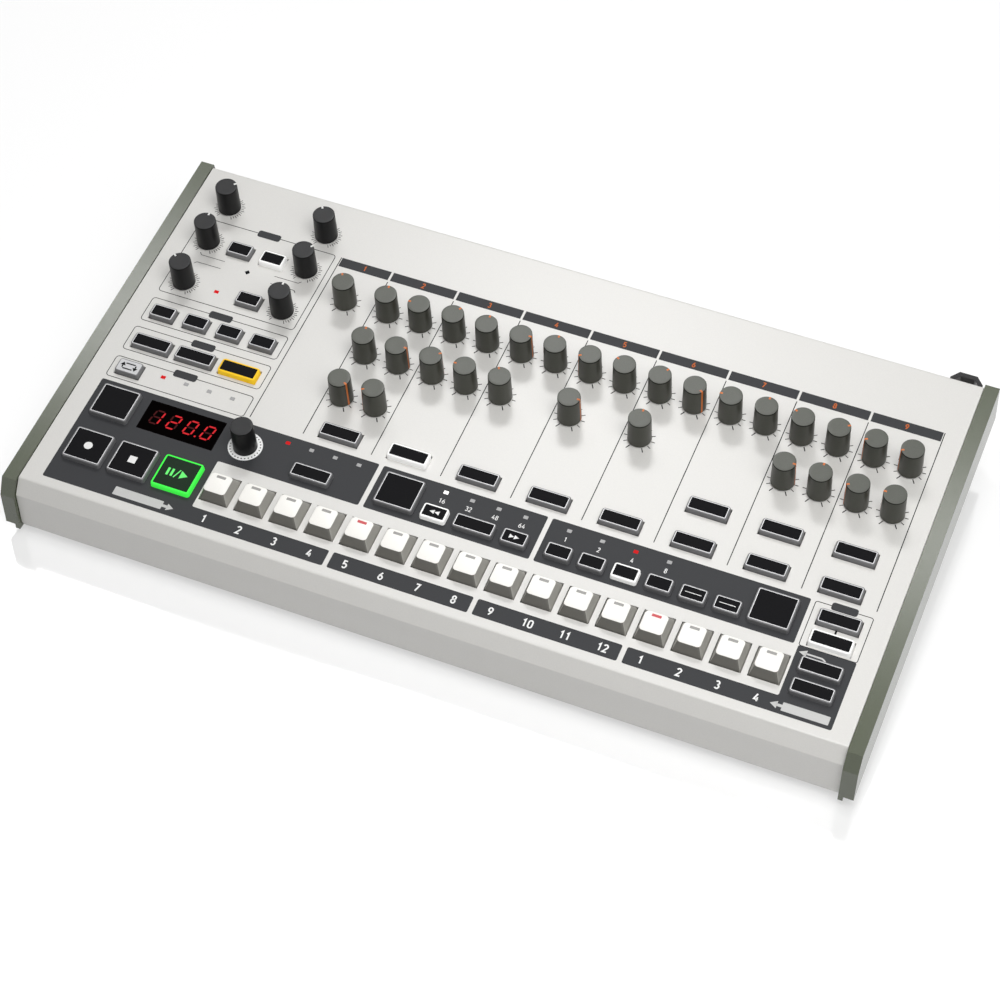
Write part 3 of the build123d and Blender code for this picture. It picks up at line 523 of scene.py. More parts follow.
def knob(joint):
    """One cap and its pointer, set where the joint's axis is and turned to where it stands at rest.

    A range runs half a turn of marks to either side of straight up, so its lower end plus that half
    turn is the heading at rest. The endless data knob has no pointer. Gives the kind and the place.
    """
    name = joint["child"]
    u, v = panel_place(joint["pos_m"])
    kind = "black" if u < LEFT_BLOCK else "olive"
    if joint.get("continuous"):
        kind = "data"
    radius, height = knob_profile()
    angle = np.linspace(0, 2 * np.pi, KNOB_SIDES, endpoint=False)
    points = knob_points(u, v, radius, height, angle)
    top, side, edge, line = OLIVE_KNOB if kind == "olive" else BLACK_KNOB
    cap = piece(name + "_cap", points, stack_faces(len(radius), KNOB_SIDES), top, name)
    cap.data.materials.append(side)
    cap.data.materials.append(edge)
    # Painted shade by level: the side darker than the top, the rounded edge darkest
    levels = np.arange(len(radius) - 1)
    on_side = levels < KNOB_SIDE_LEVELS
    on_edge = levels < KNOB_SIDE_LEVELS + KNOB_EDGE_LEVELS
    painted_shade_of_level = np.select([on_side, on_edge], [1, 2], 0)
    painted_shade_of_face = np.append(np.repeat(painted_shade_of_level, KNOB_SIDES), [0, 1])
    cap.data.polygons.foreach_set("material_index", painted_shade_of_face.astype(np.int32))
    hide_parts(name)
    if kind != "data":
        heading = np.radians(joint["range_deg"][0] + HALF_TURN)
        strip = pointer_points(u, v, heading)
        piece(name + "_pointer", strip, stack_faces(len(strip), 4), line, name, sharp=30)
    return kind, u, v


knob_places = [knob(joint) for joint in frame["joints"] if joint["name"].endswith("_turn")]


# ---------------------------------------------------------------- ticks round the knobs
def ticks(u, v, degrees, inner, outer, width):
    """Radial lines round a place: at each angle from straight up, from the inner radius outward."""
    ways = np.radians(degrees)
    return [
        bar(u + inner * east, v + inner * north, u + end * east, v + end * north, w)
        for east, north, end, w in zip(np.sin(ways), np.cos(ways), outer, width)
    ]


# Olive knobs have few marks, with longer and stronger ends; black knobs have many, long and short
COARSE_COUNT = 11
COARSE_INNER = 6.9
FINE_COUNT = 31
FINE_INNER = 7.2
coarse = np.linspace(-HALF_TURN, HALF_TURN, COARSE_COUNT)
coarse_end = np.where(np.abs(coarse) > HALF_TURN - 10, 9.9, 9.1)
coarse_width = np.where(np.abs(coarse) > HALF_TURN - 10, 0.6, 0.5)
fine = np.linspace(-HALF_TURN, HALF_TURN, FINE_COUNT)
fine_end = np.where(np.arange(FINE_COUNT) % 2 == 0, 9.4, 8.7)
fine_width = np.full(FINE_COUNT, 0.4)
knob_ticks = []
for kind, u, v in knob_places:
    if kind == "black":
        knob_ticks += ticks(u, v, fine, FINE_INNER, fine_end, fine_width)
    elif kind == "olive":
        knob_ticks += ticks(u, v, coarse, COARSE_INNER, coarse_end, coarse_width)
    else:
        data_place = (u, v)
printed("knob_ticks", knob_ticks, PRINT_LIFT, dark_ink)


# ---------------------------------------------------------------- printed blocks and lines
# Charcoal fields: the number strip in four spans below the keys, the bands above them in three, and
# the outer ones joined beside the keys
INK_CORNER = 1.2
STRIP_FOOT = 5.8
STRIP_TOP = 16.3
BAND_FOOT = 49.2
BAND_TOP = 79.0
FIELD_LEFT = 12.0
KEYS_LEFT = 99.6
KEYS_RIGHT = 437.7
FIELD_RIGHT = 469.5
STRIP_SPANS = [(FIELD_LEFT, 182.7), (185.4, 267.4), (270.1, 352.1), (354.9, FIELD_RIGHT)]
BAND_SPANS = [(FIELD_LEFT, 184.8), (187.6, 285.3), (288.0, 435.0)]
left_field = [
    (FIELD_LEFT, STRIP_FOOT),
    (STRIP_SPANS[0][1], STRIP_FOOT),
    (STRIP_SPANS[0][1], STRIP_TOP),
    (KEYS_LEFT, STRIP_TOP),
    (KEYS_LEFT, BAND_FOOT),
    (BAND_SPANS[0][1], BAND_FOOT),
    (BAND_SPANS[0][1], BAND_TOP),
    (FIELD_LEFT, BAND_TOP),
]
right_field = [
    (STRIP_SPANS[3][0], STRIP_FOOT),
    (FIELD_RIGHT, STRIP_FOOT),
    (FIELD_RIGHT, BAND_FOOT),
    (KEYS_RIGHT, BAND_FOOT),
    (KEYS_RIGHT, STRIP_TOP),
    (STRIP_SPANS[3][0], STRIP_TOP),
]
dark_fields = [left_field, right_field]
dark_fields += [block(*span, STRIP_FOOT, STRIP_TOP) for span in STRIP_SPANS[1:3]]
dark_fields += [block(*span, BAND_FOOT, BAND_TOP) for span in BAND_SPANS[1:]]
dark_blocks = [rounded_polygon(corners, INK_CORNER) for corners in dark_fields]

# Header strip over the sections, and the lines between them
HEADER_FOOT = 202.7
HEADER_TOP = 209.3
HEADER_GAP = 0.7
SECTION_FOOT = 83.3
SECTION_LINE = 0.52
section_lines = [103.0, *columns(136.0, SECTION_PITCH, 9)]
section_spans = list(zip(section_lines[:-1], section_lines[1:]))
headers = [
    block(left + HEADER_GAP, right - HEADER_GAP, HEADER_FOOT, HEADER_TOP)
    for left, right in section_spans
]

# Frames round the left groups and round the track buttons, each with a tab on its upper line
FRAME_LEFT = 12.3
FRAME_RIGHT = 99.3
LEFT_FRAMES = [(149.0, 209.5), (125.7, 143.3), (102.7, 120.3), (81.9, 97.0)]
TRACK_FRAME = (KEYS_RIGHT, FIELD_RIGHT, BAND_FOOT, 78.6)
tab = rounded_outline(14.5, 5.0, 1.4)
tabs = [moved(tab, (FRAME_LEFT + FRAME_RIGHT) / 2, frame_top) for _, frame_top in LEFT_FRAMES]
tabs.append(moved(tab, (KEYS_RIGHT + FIELD_RIGHT) / 2, TRACK_FRAME[3]))
printed("charcoal_blocks", dark_blocks + headers, PRINT_LIFT, charcoal_ink)
printed("charcoal_tabs", tabs, MARK_LIFT, charcoal_ink)


def line_frame(u0, u1, v0, v1, corner=2.0, width=0.44):
    """Thin line round a rounded rectangle, as quads between its outer and inner edges."""
    middle = ((u0 + u1) / 2, (v0 + v1) / 2)
    outer = rounded_outline(u1 - u0 + width, v1 - v0 + width, corner + width / 2)
    inner = rounded_outline(u1 - u0 - width, v1 - v0 - width, corner - width / 2)
    return outline_band(moved(outer, *middle), moved(inner, *middle))


thin_lines = []
for frame_foot, frame_top in LEFT_FRAMES:
    thin_lines += line_frame(FRAME_LEFT, FRAME_RIGHT, frame_foot, frame_top)
thin_lines += line_frame(*TRACK_FRAME, corner=1.2)
for line_u in section_lines:
    at_edge = line_u in (section_lines[0], section_lines[-1])
    line_top = HEADER_TOP if at_edge else HEADER_FOOT - 1.2
    thin_lines.append(bar(line_u, SECTION_FOOT, line_u, line_top, SECTION_LINE))

# Beside the small diamond, two bent lines on either side
DIAMOND = (55.7, 179.4)
BRACKET = 0.36
for side in (-1, 1):
    near = DIAMOND[0] + side * 16.2
    far = DIAMOND[0] + side * 31.5
    for line_v, turned in ((182.3, 1), (176.5, -1)):
        thin_lines.append(bar(near, line_v, far, line_v, BRACKET))
        thin_lines.append(bar(far, line_v, far + side * 1.4, line_v + turned * 1.6, BRACKET))
diamond = moved(1.7 * np.array([[0, -1], [1, 0], [0, 1], [-1, 0]]), *DIAMOND)
printed("section_lines", thin_lines, PRINT_LIFT, dark_ink)
printed("small_diamond", [diamond], PRINT_LIFT, dark_ink)

# Data knob: a pale ring with dark dots
RING_OUTER = 9.9
RING_INNER = 6.9
RING_SIDES = 64
DOT_CIRCLE = 8.6
DOT_COUNT = 27
DOT_RADIUS = 0.42
ring = outline_band(
    disc(*data_place, RING_OUTER, RING_SIDES),
    disc(*data_place, RING_INNER, RING_SIDES),
)
dots = [disc(*place, DOT_RADIUS, 10) for place in disc(*data_place, DOT_CIRCLE, DOT_COUNT)]
printed("data_ring", ring, MARK_LIFT, pale_ink)
printed("data_ring_dots", dots, DOT_LIFT, charcoal_ink)


# ---------------------------------------------------------------- numbers and marks
def arc(middle_x, middle_y, radius_x, radius_y, start, end):
    """Ellipse's arc between two angles in degrees: the middle plus radii times cosine and sine."""
    angle = np.radians(np.linspace(start, end, 13))
    x = middle_x + radius_x * np.cos(angle)
    y = middle_y + radius_y * np.sin(angle)
    return np.stack([x, y], axis=1)


def path_of(*points):
    """Path of straight lines through the points."""
    return np.array(points, float)


# Numerals one unit high, each a list of paths
NUMERAL_WIDTH = 0.47
NUMERAL_GAP = 0.26
HALF = NUMERAL_WIDTH / 2
OVAL_TOP = arc(HALF, 0.76, HALF, 0.24, 0, 180)
OVAL_FOOT = arc(HALF, 0.24, HALF, 0.24, 180, 360)
FIVE_FLAG = path_of([0.44, 1.0], [0.06, 1.0], [0.03, 0.54])
NUMERALS = {
    "0": [np.concatenate([OVAL_TOP, OVAL_FOOT, OVAL_TOP[:1]])],
    "1": [path_of([0.06, 0.78], [0.27, 0.99], [0.27, 0.0])],
    "2": [np.concatenate([arc(HALF, 0.75, HALF, 0.25, 165, -25), path_of([0.0, 0.0], [0.48, 0.0])])],
    "3": [arc(HALF - 0.02, 0.76, HALF - 0.02, 0.24, 150, -90), arc(HALF, 0.26, HALF, 0.26, 90, -150)],
    "4": [path_of([0.3, 1.0], [0.02, 0.25], [0.52, 0.25]), path_of([0.38, 0.55], [0.38, 0.0])],
    "5": [np.concatenate([FIVE_FLAG, arc(HALF, 0.3, HALF, 0.3, 115, -150)])],
    "6": [arc(HALF, 0.28, HALF, 0.28, 0, 360), path_of([0.0, 0.34], [0.06, 0.6], [0.34, 1.0])],
    "7": [path_of([0.0, 1.0], [0.46, 1.0], [0.14, 0.0])],
    "8": [arc(HALF, 0.765, HALF - 0.03, 0.235, -90, 270), arc(HALF, 0.265, HALF, 0.265, 90, 450)],
    "9": [arc(HALF, 0.72, HALF, 0.28, 0, 360), path_of([0.46, 0.66], [0.4, 0.4], [0.12, 0.0])],
}


def stroke(path, width):
    """Quads along a path: each point is moved to both sides, square to the bend.

    The move is half the width over the cosine of half the bend, so the stroke keeps its width, and
    a closed path takes its first and last bend from each other.
    """
    along = np.diff(path, axis=0)
    along /= np.linalg.norm(along, axis=1)[:, None]
    before = np.concatenate([along[:1], along])
    after = np.concatenate([along, along[-1:]])
    if np.allclose(path[0], path[-1]):
        before[0] = along[-1]
        after[-1] = along[0]
    middle = before + after
    middle /= np.linalg.norm(middle, axis=1)[:, None]
    side = np.stack([-middle[:, 1], middle[:, 0]], axis=1)
    least_cosine = 0.45
    reach = width / 2 / np.maximum(least_cosine, (middle * after).sum(1))[:, None]
    left, right = path + reach * side, path - reach * side
    return list(np.stack([right[:-1], right[1:], left[1:], left[:-1]], axis=1))


def numbers(name, texts, height, material, weight=0.2):
    """Plain numerals, each (text, u, v), drawn as even strokes and centred on the place."""
    quads = []
    step = NUMERAL_WIDTH + NUMERAL_GAP
    for text, u, v in texts:
        left = u - height * (step * len(text) - NUMERAL_GAP) / 2
        for place, digit in enumerate(text):
            for path in NUMERALS[digit]:
                drawn = moved(path * height, left + place * step * height, v - height / 2)
                quads += stroke(drawn, weight * height)
    printed(name, quads, MARK_LIFT, material)


key_columns = columns(FIRST_KEY, KEY_PITCH, KEY_COUNT)
length_columns = columns(BACK_COLUMN, LENGTH_PITCH, 4)
bank_columns = columns(FIRST_BANK, BANK_PITCH, 6)
step_numbers = [(str(i % 12 + 1), u, NUMBER_ROW) for i, u in enumerate(key_columns)]
lamp_numbers = [
    (text, u, LAMP_NUMBER_ROW)
    for text, u in zip(
        ("16", "32", "48", "64", "1", "2", "4", "8"),
        (*length_columns, *bank_columns[:4]),
    )
]
header_numbers = [
    (str(i + 1), (left + right) / 2, (HEADER_FOOT + HEADER_TOP) / 2)
    for i, (left, right) in enumerate(section_spans)
]
numbers("step_numbers", step_numbers, height=4.5, material=pale_ink)
numbers("lamp_numbers", lamp_numbers, height=2.7, material=pale_ink, weight=0.16)
numbers("section_numbers", header_numbers, height=3.2, material=orange_ink)

# Flags beside the number strip, left blank, and small pointing marks
FLAG_CORNER = 0.5
ARROW_SHAFT = 1.7
left_flag = [
    rounded_polygon(block(54.3, 84.0, 8.2, 13.7), FLAG_CORNER),
    bar(84.0, 10.95, 87.6, 10.95, ARROW_SHAFT),
    path_of([86.8, 8.7], [90.8, 10.95], [86.8, 13.2]),
]
right_flag = [
    rounded_polygon(block(441.5, 467.0, 8.0, 13.3), FLAG_CORNER),
    bar(438.2, 10.65, 441.5, 10.65, ARROW_SHAFT),
    path_of([438.8, 8.4], [438.8, 12.9], [434.9, 10.65]),
]
hook = np.concatenate([path_of([442.5, 45.3], [451.0, 45.3]), arc(451.0, 42.6, 3.2, 2.7, 80, 0)[1:]])
hook_arrow = [*stroke(hook, 1.0), path_of([443.4, 43.2], [443.4, 47.4], [439.2, 45.3])]
link_mark = [bar(453.5, 62.0, 453.5, 64.8, 1.1)]
printed("blank_flags", left_flag + right_flag, MARK_LIFT, flag_ink)
printed("hook_arrow", hook_arrow, MARK_LIFT, flag_ink)
printed("link_mark", link_mark, PRINT_LIFT, dark_ink)


# ---------------------------------------------------------------- push buttons
def cap_shape(width, depth):
    """Cap outline at each level: straight skirt, rounded upper edge, flat shelf round the label.

    The edge is a quarter circle: it rises by its radius times sine and comes in by one less cosine.
    """
    turn = np.linspace(0.0, np.pi / 2, 5)
    heights = np.concatenate([[BUTTON_FOOT, 0.0], BUTTON_HEIGHT - BUTTON_EDGE * (1 - np.sin(turn))])
    insets = np.concatenate([[0.0, 0.05], BUTTON_TAPER + BUTTON_EDGE * (1 - np.cos(turn))])
    return stacked(
        [
            ring_at(rounded_outline(width - 2 * inset, depth - 2 * inset, BUTTON_CORNER), height)
            for inset, height in zip(insets, heights)
        ]
    )


def slab_shape(width, depth, corner, low, high, edge=0.02):
    """Thin plate whose top comes in by a small chamfer."""
    foot = rounded_outline(width, depth, corner)
    top = rounded_outline(width - 2 * edge, depth - 2 * edge, corner)
    return stacked([ring_at(foot, low), ring_at(foot, high - edge), ring_at(top, high)])


def laid(name, shape, places, material, body):
    """Copies of one shape on the panel, joined into one piece."""
    local, faces = shape
    copies = [on_panel(local[:, 0] + u, local[:, 1] + v, local[:, 2]) for u, v in places]
    points, faces = repeated(copies, faces)
    return piece(name, points, faces, material, body)


SHELF = {SMALL: 0.95, WIDE: 0.95, SQUARE: 1.0}  # from the cap's side to the bright line

def buttons(name, size, places, body, rim=rim_plastic, edge=rim_edge, label=label_black):
    """Caps of one size: moulded rim, bright edge line, and the black label let into the top."""
    width, depth = size
    shelf = SHELF[size]

    def let_in(part, inset, corner, rise, material):
        """Plate as large as the cap less the inset on all sides, a hair above the cap."""
        low, high = BUTTON_HEIGHT - LABEL_SINK, BUTTON_HEIGHT + rise
        plate = slab_shape(width - 2 * inset, depth - 2 * inset, corner, low, high)
        laid(name + part, plate, places, material, body)

    cap = laid(name, cap_shape(width, depth), places, rim, body)
    let_in("_edge", shelf, corner=0.8, rise=0.02, material=edge)
    let_in("_label", shelf + EDGE_LINE, corner=0.5, rise=0.04, material=label)
    return cap


small_columns = columns(FIRST_SMALL, KEY_PITCH, 4)
square_columns = [28.2, 55.9, 83.6]
sections = columns(FIRST_SECTION, SECTION_PITCH, 8)

FUNCTION = "function_buttons"
small_dark = [
    (small_columns[1], FILTER_ROW),
    (small_columns[2], SHAPER_ROW),
    *((u, SYNC_ROW) for u in small_columns),
    (FORWARD_COLUMN, PATTERN_ROW),
    *((bank_columns[i], PATTERN_ROW) for i in (0, 1, 3, 4, 5)),
]
small_white = [
    (small_columns[2], FILTER_ROW),
    (BACK_COLUMN, PATTERN_ROW),
    (bank_columns[2], PATTERN_ROW),
]
wide_dark = [
    *((u, MODE_ROW) for u in square_columns[:2]),
    *((u, PATTERN_ROW) for u in WIDE_COLUMNS),
    *((RIGHT_COLUMN, v) for v in (TRACK_ROWS[0], *SETUP_ROWS)),
]
wide_white = [(RIGHT_COLUMN, TRACK_ROWS[1])]
wide_yellow = [(square_columns[2], MODE_ROW)]
loop_place = (small_columns[0], LOOP_ROW)
caps = buttons("small_caps", SMALL, small_dark, FUNCTION)
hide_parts(FUNCTION)
buttons("wide_caps", WIDE, wide_dark, FUNCTION)
buttons("small_white_caps", SMALL, small_white, FUNCTION, white_cap, white_cap)
buttons("wide_white_cap", WIDE, wide_white, FUNCTION, white_cap, white_cap)
buttons("wide_yellow_cap", WIDE, wide_yellow, FUNCTION, yellow_cap, yellow_cap)
buttons("loop_cap", SMALL, [loop_place], FUNCTION, rim_plastic, pale_label, pale_label)

VOICE = "voice_buttons"
voices = [(u, VOICE_ROWS[0]) for u in sections] + [(u, VOICE_ROWS[1]) for u in sections[5:]]
white_voice = voices.pop(1)
caps = buttons("voice_caps", WIDE, voices, VOICE)
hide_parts(VOICE)
buttons("voice_white_cap", WIDE, [white_voice], VOICE, white_cap, white_cap)

TRANSPORT = "transport_buttons"
squares = [(u, TRANSPORT_ROW) for u in square_columns[:2]]
squares += [(u, SQUARE_ROW) for u in (square_columns[0], *SQUARE_COLUMNS)]
play_place = (square_columns[2], TRANSPORT_ROW)
caps = buttons("square_caps", SQUARE, squares, TRANSPORT)
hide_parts(TRANSPORT)
buttons("play_cap", SQUARE, [play_place], TRANSPORT, green_cap, green_cap, green_label)

# Marks on the caps, drawn about the cap's middle
record_mark = disc(*squares[0], 2.5, 32)
stop_mark = moved(block(-2.3, 2.3, -2.3, 2.3), *squares[1])
play_mark = [
    block(-6.3, -4.9, -2.5, 2.5),
    block(-3.7, -2.3, -2.5, 2.5),
    bar(-1.2, -2.9, 1.1, 2.9, 0.7),
    path_of([2.0, -2.7], [6.4, 0.0], [2.0, 2.7]),
]
LOOP_STROKE = 0.8
loop_mark = [
    bar(-2.6, 1.9, 3.4, 1.9, LOOP_STROKE),
    bar(-3.4, -1.9, 2.6, -1.9, LOOP_STROKE),
    bar(-3.9, -1.5, -3.9, 0.6, LOOP_STROKE),
    bar(3.9, -0.6, 3.9, 1.5, LOOP_STROKE),
    path_of([-5.5, 0.1], [-2.3, 0.1], [-3.9, 2.5]),
    path_of([2.3, -0.1], [3.9, -2.5], [5.5, -0.1]),
]


def double_arrow(u, v, way):
    """Two triangles one behind the other, pointing left or right."""
    tip = path_of([-1.5, -1.4], [1.3, 0.0], [-1.5, 1.4]) * np.array([way, 1.0])
    return [moved(tip, u + way * shift, v) for shift in (-1.4, 1.5)]


cap_marks = double_arrow(BACK_COLUMN, PATTERN_ROW, -1)
cap_marks += double_arrow(FORWARD_COLUMN, PATTERN_ROW, 1)
cap_marks += [bar(u - 4.6, PATTERN_ROW, u + 4.6, PATTERN_ROW, 0.4) for u in bank_columns[4:]]
play_mark = [moved(outline, *play_place) for outline in play_mark]
loop_mark = [moved(outline, *loop_place) for outline in loop_mark]
printed("transport_marks", [record_mark, stop_mark], CAP_LIFT, pale_ink, TRANSPORT)
printed("play_mark", play_mark, CAP_LIFT, green_mark, TRANSPORT)
printed("function_marks", cap_marks, CAP_LIFT, pale_ink, FUNCTION)
printed("loop_mark", loop_mark, CAP_LIFT, dark_ink, FUNCTION)


# ---------------------------------------------------------------- step keys
KEY_BASE = (16.95, 18.65)
KEY_TOP = (12.9, 12.5)
KEY_SHIFT = -0.6
KEY_HEIGHT = 6.95
KEY_EDGE = 0.22
KEY_RIM = KEY_HEIGHT - KEY_EDGE
KEY_LEVELS = (-4.1, 0.0, 2.5, KEY_RIM)
KEY_OVERLAP = 0.02
KEY_CORNER_STEPS = 7
LENS = (5.4, 1.7)
# Faces turned further to the left or right than this take the lighter painted shade
FLANK_NORMAL = 0.6  # a face whose normal points further to the left or right than this is a flank


def key_ring(height, inset=0.0):
    """Key outline at a height: its width, depth, corner and shift blend from the foot to the top."""
    share = np.clip(height / KEY_HEIGHT, 0.0, 1.0)
    width = KEY_BASE[0] + (KEY_TOP[0] - KEY_BASE[0]) * share - 2 * inset
    depth = KEY_BASE[1] + (KEY_TOP[1] - KEY_BASE[1]) * share - 2 * inset
    flat = rounded_outline(width, depth, 1.2 + 0.9 * share, KEY_CORNER_STEPS)
    return ring_at(moved(flat, 0.0, KEY_SHIFT * share), height)


key_sides = stacked([key_ring(height) for height in KEY_LEVELS])
rounding = [
    key_ring(KEY_RIM + KEY_EDGE * np.sin(a), KEY_EDGE * (1 - np.cos(a)))
    for a in np.linspace(0.0, np.pi / 2, 4)
]
key_tops = stacked([key_ring(KEY_RIM - KEY_OVERLAP), *rounding])
lens = slab_shape(*LENS, corner=0.25, low=KEY_HEIGHT - 0.3, high=KEY_HEIGHT + 0.03)
lens_row = KEY_ROW + KEY_SHIFT + KEY_TOP[1] / 2 - 1.95


def step_keys(first):
    """Four keys on one body: cream skirts painted dark as shade, less dark on their flanks, pale tops and lenses.
    """
    body = f"step_keys_{first + 1}_to_{first + KEY_GROUP}"
    group = range(first, first + KEY_GROUP)
    places = [(key_columns[i], KEY_ROW) for i in group]
    skirts = laid(body + "_sides", key_sides, places, key_side_painted_shade, body)
    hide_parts(body)
    skirts.data.materials.append(key_flank_painted_shade)
    normals = np.empty(3 * len(skirts.data.polygons), np.float32)
    skirts.data.polygons.foreach_get("normal", normals)
    # Painted shade by face direction: flanks lighter, front and back darker
    flank_gets_lighter_shade = np.abs(normals[0::3]) > FLANK_NORMAL
    skirts.data.polygons.foreach_set("material_index", flank_gets_lighter_shade.astype(np.int32))
    laid(body + "_tops", key_tops, places, key_top, body)
    dark = [(key_columns[i], lens_row) for i in group if i not in LIT_KEYS]
    laid(body + "_lenses", lens, dark, grey_lens, body)
    bright = [(key_columns[i], lens_row) for i in group if i in LIT_KEYS]
    if bright:
        laid(body + "_lit_lens", lens, bright, pink_lens, body)


for first in range(0, KEY_COUNT, KEY_GROUP):
    step_keys(first)


# ---------------------------------------------------------------- small lamps
lamp = slab_shape(2.7, 2.1, corner=0.3, low=-1.0, high=0.15, edge=0.05)
shaper_lamp = (45.0, 159.6)
sync_lamps = [(u, SYNC_LAMP_ROW) for u in columns(FIRST_SYNC_LAMP, SYNC_LAMP_PITCH, 4)]
data_lamps = [(u, DATA_LAMP_ROW) for u in columns(FIRST_DATA_LAMP, DATA_LAMP_PITCH, 4)]
length_lamps = [(u, PATTERN_LAMP_ROW) for u in length_columns]
bank_lamps = [(u, PATTERN_LAMP_ROW) for u in bank_columns[:4]]
red_lamps = [shaper_lamp, sync_lamps[0], data_lamps[0], bank_lamps.pop(2)]
dark_lamps = sync_lamps[1:] + data_lamps[1:] + length_lamps[1:] + bank_lamps
lights = laid("unlit_lamps", lamp, dark_lamps, lamp_dark, "chassis")
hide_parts("indicator_lights")
laid("red_lamps", lamp, red_lamps, red_lamp, "chassis")
laid("white_lamp", lamp, [length_lamps[0]], white_lamp, "chassis")


# ---------------------------------------------------------------- display
DISPLAY = (69.4, 64.5)
DISPLAY_SIZE = (47.2, 20.6)
pane = slab_shape(*DISPLAY_SIZE, corner=0.3, low=-0.9, high=0.08, edge=0.03)
window = laid("display_window", pane, [DISPLAY], window_glass, "chassis")
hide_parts("display_module")

DIGIT_WIDTH = 5.2
DIGIT_HEIGHT = 9.2
DIGIT_PITCH = 10.6
DIGIT_LEFT = 50.6
DIGIT_FOOT = 60.0
DIGIT_LEAN = 0.17
DIGIT_LIFT = 0.1
SEGMENT_WIDTH = 1.0
SEGMENT_GAP = 0.35


def segment(u0, v0, u1, v1):
    """A stroke with pointed ends, leaning with the digit.

    Both ends stand off by the gap, the shoulders by half the width more, and the lean adds its share
    of the height to each column.
    """
    start, end = np.array([u0, v0]), np.array([u1, v1])
    along = (end - start) / np.linalg.norm(end - start)
    side = np.array([-along[1], along[0]]) * SEGMENT_WIDTH / 2
    tip = along * SEGMENT_WIDTH / 2
    a = start + along * SEGMENT_GAP
    b = end - along * SEGMENT_GAP
    points = np.array([a, a + tip - side, b - tip - side, b, b - tip + side, a + tip + side])
    return np.column_stack([points[:, 0] + DIGIT_LEAN * points[:, 1], points[:, 1]])


def digit_segments():
    """The seven strokes: top, upper right, lower right, foot, lower left, upper left, middle."""
    w, h = DIGIT_WIDTH, DIGIT_HEIGHT
    return [
        segment(0, h, w, h),
        segment(w, h / 2, w, h),
        segment(w, 0, w, h / 2),
        segment(0, 0, w, 0),
        segment(0, 0, 0, h / 2),
        segment(0, h / 2, 0, h),
        segment(0, h / 2, w, h / 2),
    ]


DIGIT_CODES = {"0": (0, 1, 2, 3, 4, 5), "1": (1, 2), "2": (0, 1, 6, 4, 3)}
bright_segments = []
dim_segments = []
for i, digit in enumerate("1200"):
    for number, outline in enumerate(digit_segments()):
        chosen = bright_segments if number in DIGIT_CODES[digit] else dim_segments
        chosen.append(moved(outline, DIGIT_LEFT + DIGIT_PITCH * i, DIGIT_FOOT))
point_u = DIGIT_LEFT + DIGIT_PITCH * 3 - 2.6
bright_segments.append(disc(point_u, DIGIT_FOOT, 0.6, 12))
printed("display_digits", bright_segments, DIGIT_LIFT, segment_lit)
# The unlit strokes carry the faint painted glow
printed("display_dim_strokes", dim_segments, DIGIT_LIFT, unlit_segment_painted_glow)


# ---------------------------------------------------------------- rear face
SOCKET_LIP = 0.8  # how far a mount's mouth stands out from the face


def on_face(mount, right, rise, out):
    """Metres from rear-face millimetres: out along the mount's axis, rise up the face, right on -X."""
    axis = np.array(mount["axis"], float)
    up = np.cross(axis, [-1.0, 0.0, 0.0])
    depth = mount["dims"]["length_mm"] / 2 - SOCKET_LIP
    right, rise, out = np.broadcast_arrays(*(np.asarray(a, float) for a in (right, rise, out)))
    steps = (out + depth)[..., None] * axis + rise[..., None] * up + right[..., None] * -ACROSS
    return np.array(mount["pos_m"]) + MM * steps


def collar(mount, radii, heights, count=36):
    """Ring of revolution round the socket's axis: each radius swept round, at its height."""
    angle = np.linspace(0, 2 * np.pi, count, endpoint=False)
    radii = np.array(radii, float)[:, None]
    heights = np.array(heights, float)[:, None] + 0 * angle[None, :]
    points = on_face(mount, radii * np.cos(angle), radii * np.sin(angle), heights)
    return points.reshape(-1, 3), ring_faces(len(heights), count)


def collars(name, kind, radii, heights):
    """One nut for each socket whose mount's name starts with the kind, joined into one piece."""
    chosen = [m for m in record["mounts"] if m["name"].startswith(kind)]
    shapes = [collar(m, radii, heights) for m in chosen]
    points, faces = repeated([copy for copy, _ in shapes], shapes[0][1])
    piece(name, points, faces, nut_metal, "chassis")


collars(
    "jack_nuts",
    "output_jack",
    radii=[4.2, 4.2, 4.35, 5.5, 5.7, 5.7],
    heights=[0.02, 0.9, 1.05, 1.05, 0.9, 0.02],
)
collars(
    "small_jack_nuts",
    "mini_jack",
    radii=[2.75, 2.75, 2.85, 3.6, 3.75, 3.75],
    heights=[0.02, 0.9, 1.0, 1.0, 0.9, 0.02],
)


# ---------------------------------------------------------------- floor, lamps and camera
FLOOR_HALF = 6.0
FLOOR_GREY = 0.46
FLOOR_GLOW = 0.5
FLOOR_ROUGHNESS = 0.09
FLOOR_IOR = 1.9
ROOM_LIGHT = 0.06
WHITE = (1.0, 1.0, 1.0, 1.0)


def either(tree, first, second):
    """Output of a node that gives the greater of two values."""
    node = tree.nodes.new("ShaderNodeMath")
    node.operation = "MAXIMUM"
    tree.links.new(first, node.inputs[0])
    tree.links.new(second, node.inputs[1])
    return node.outputs["Value"]


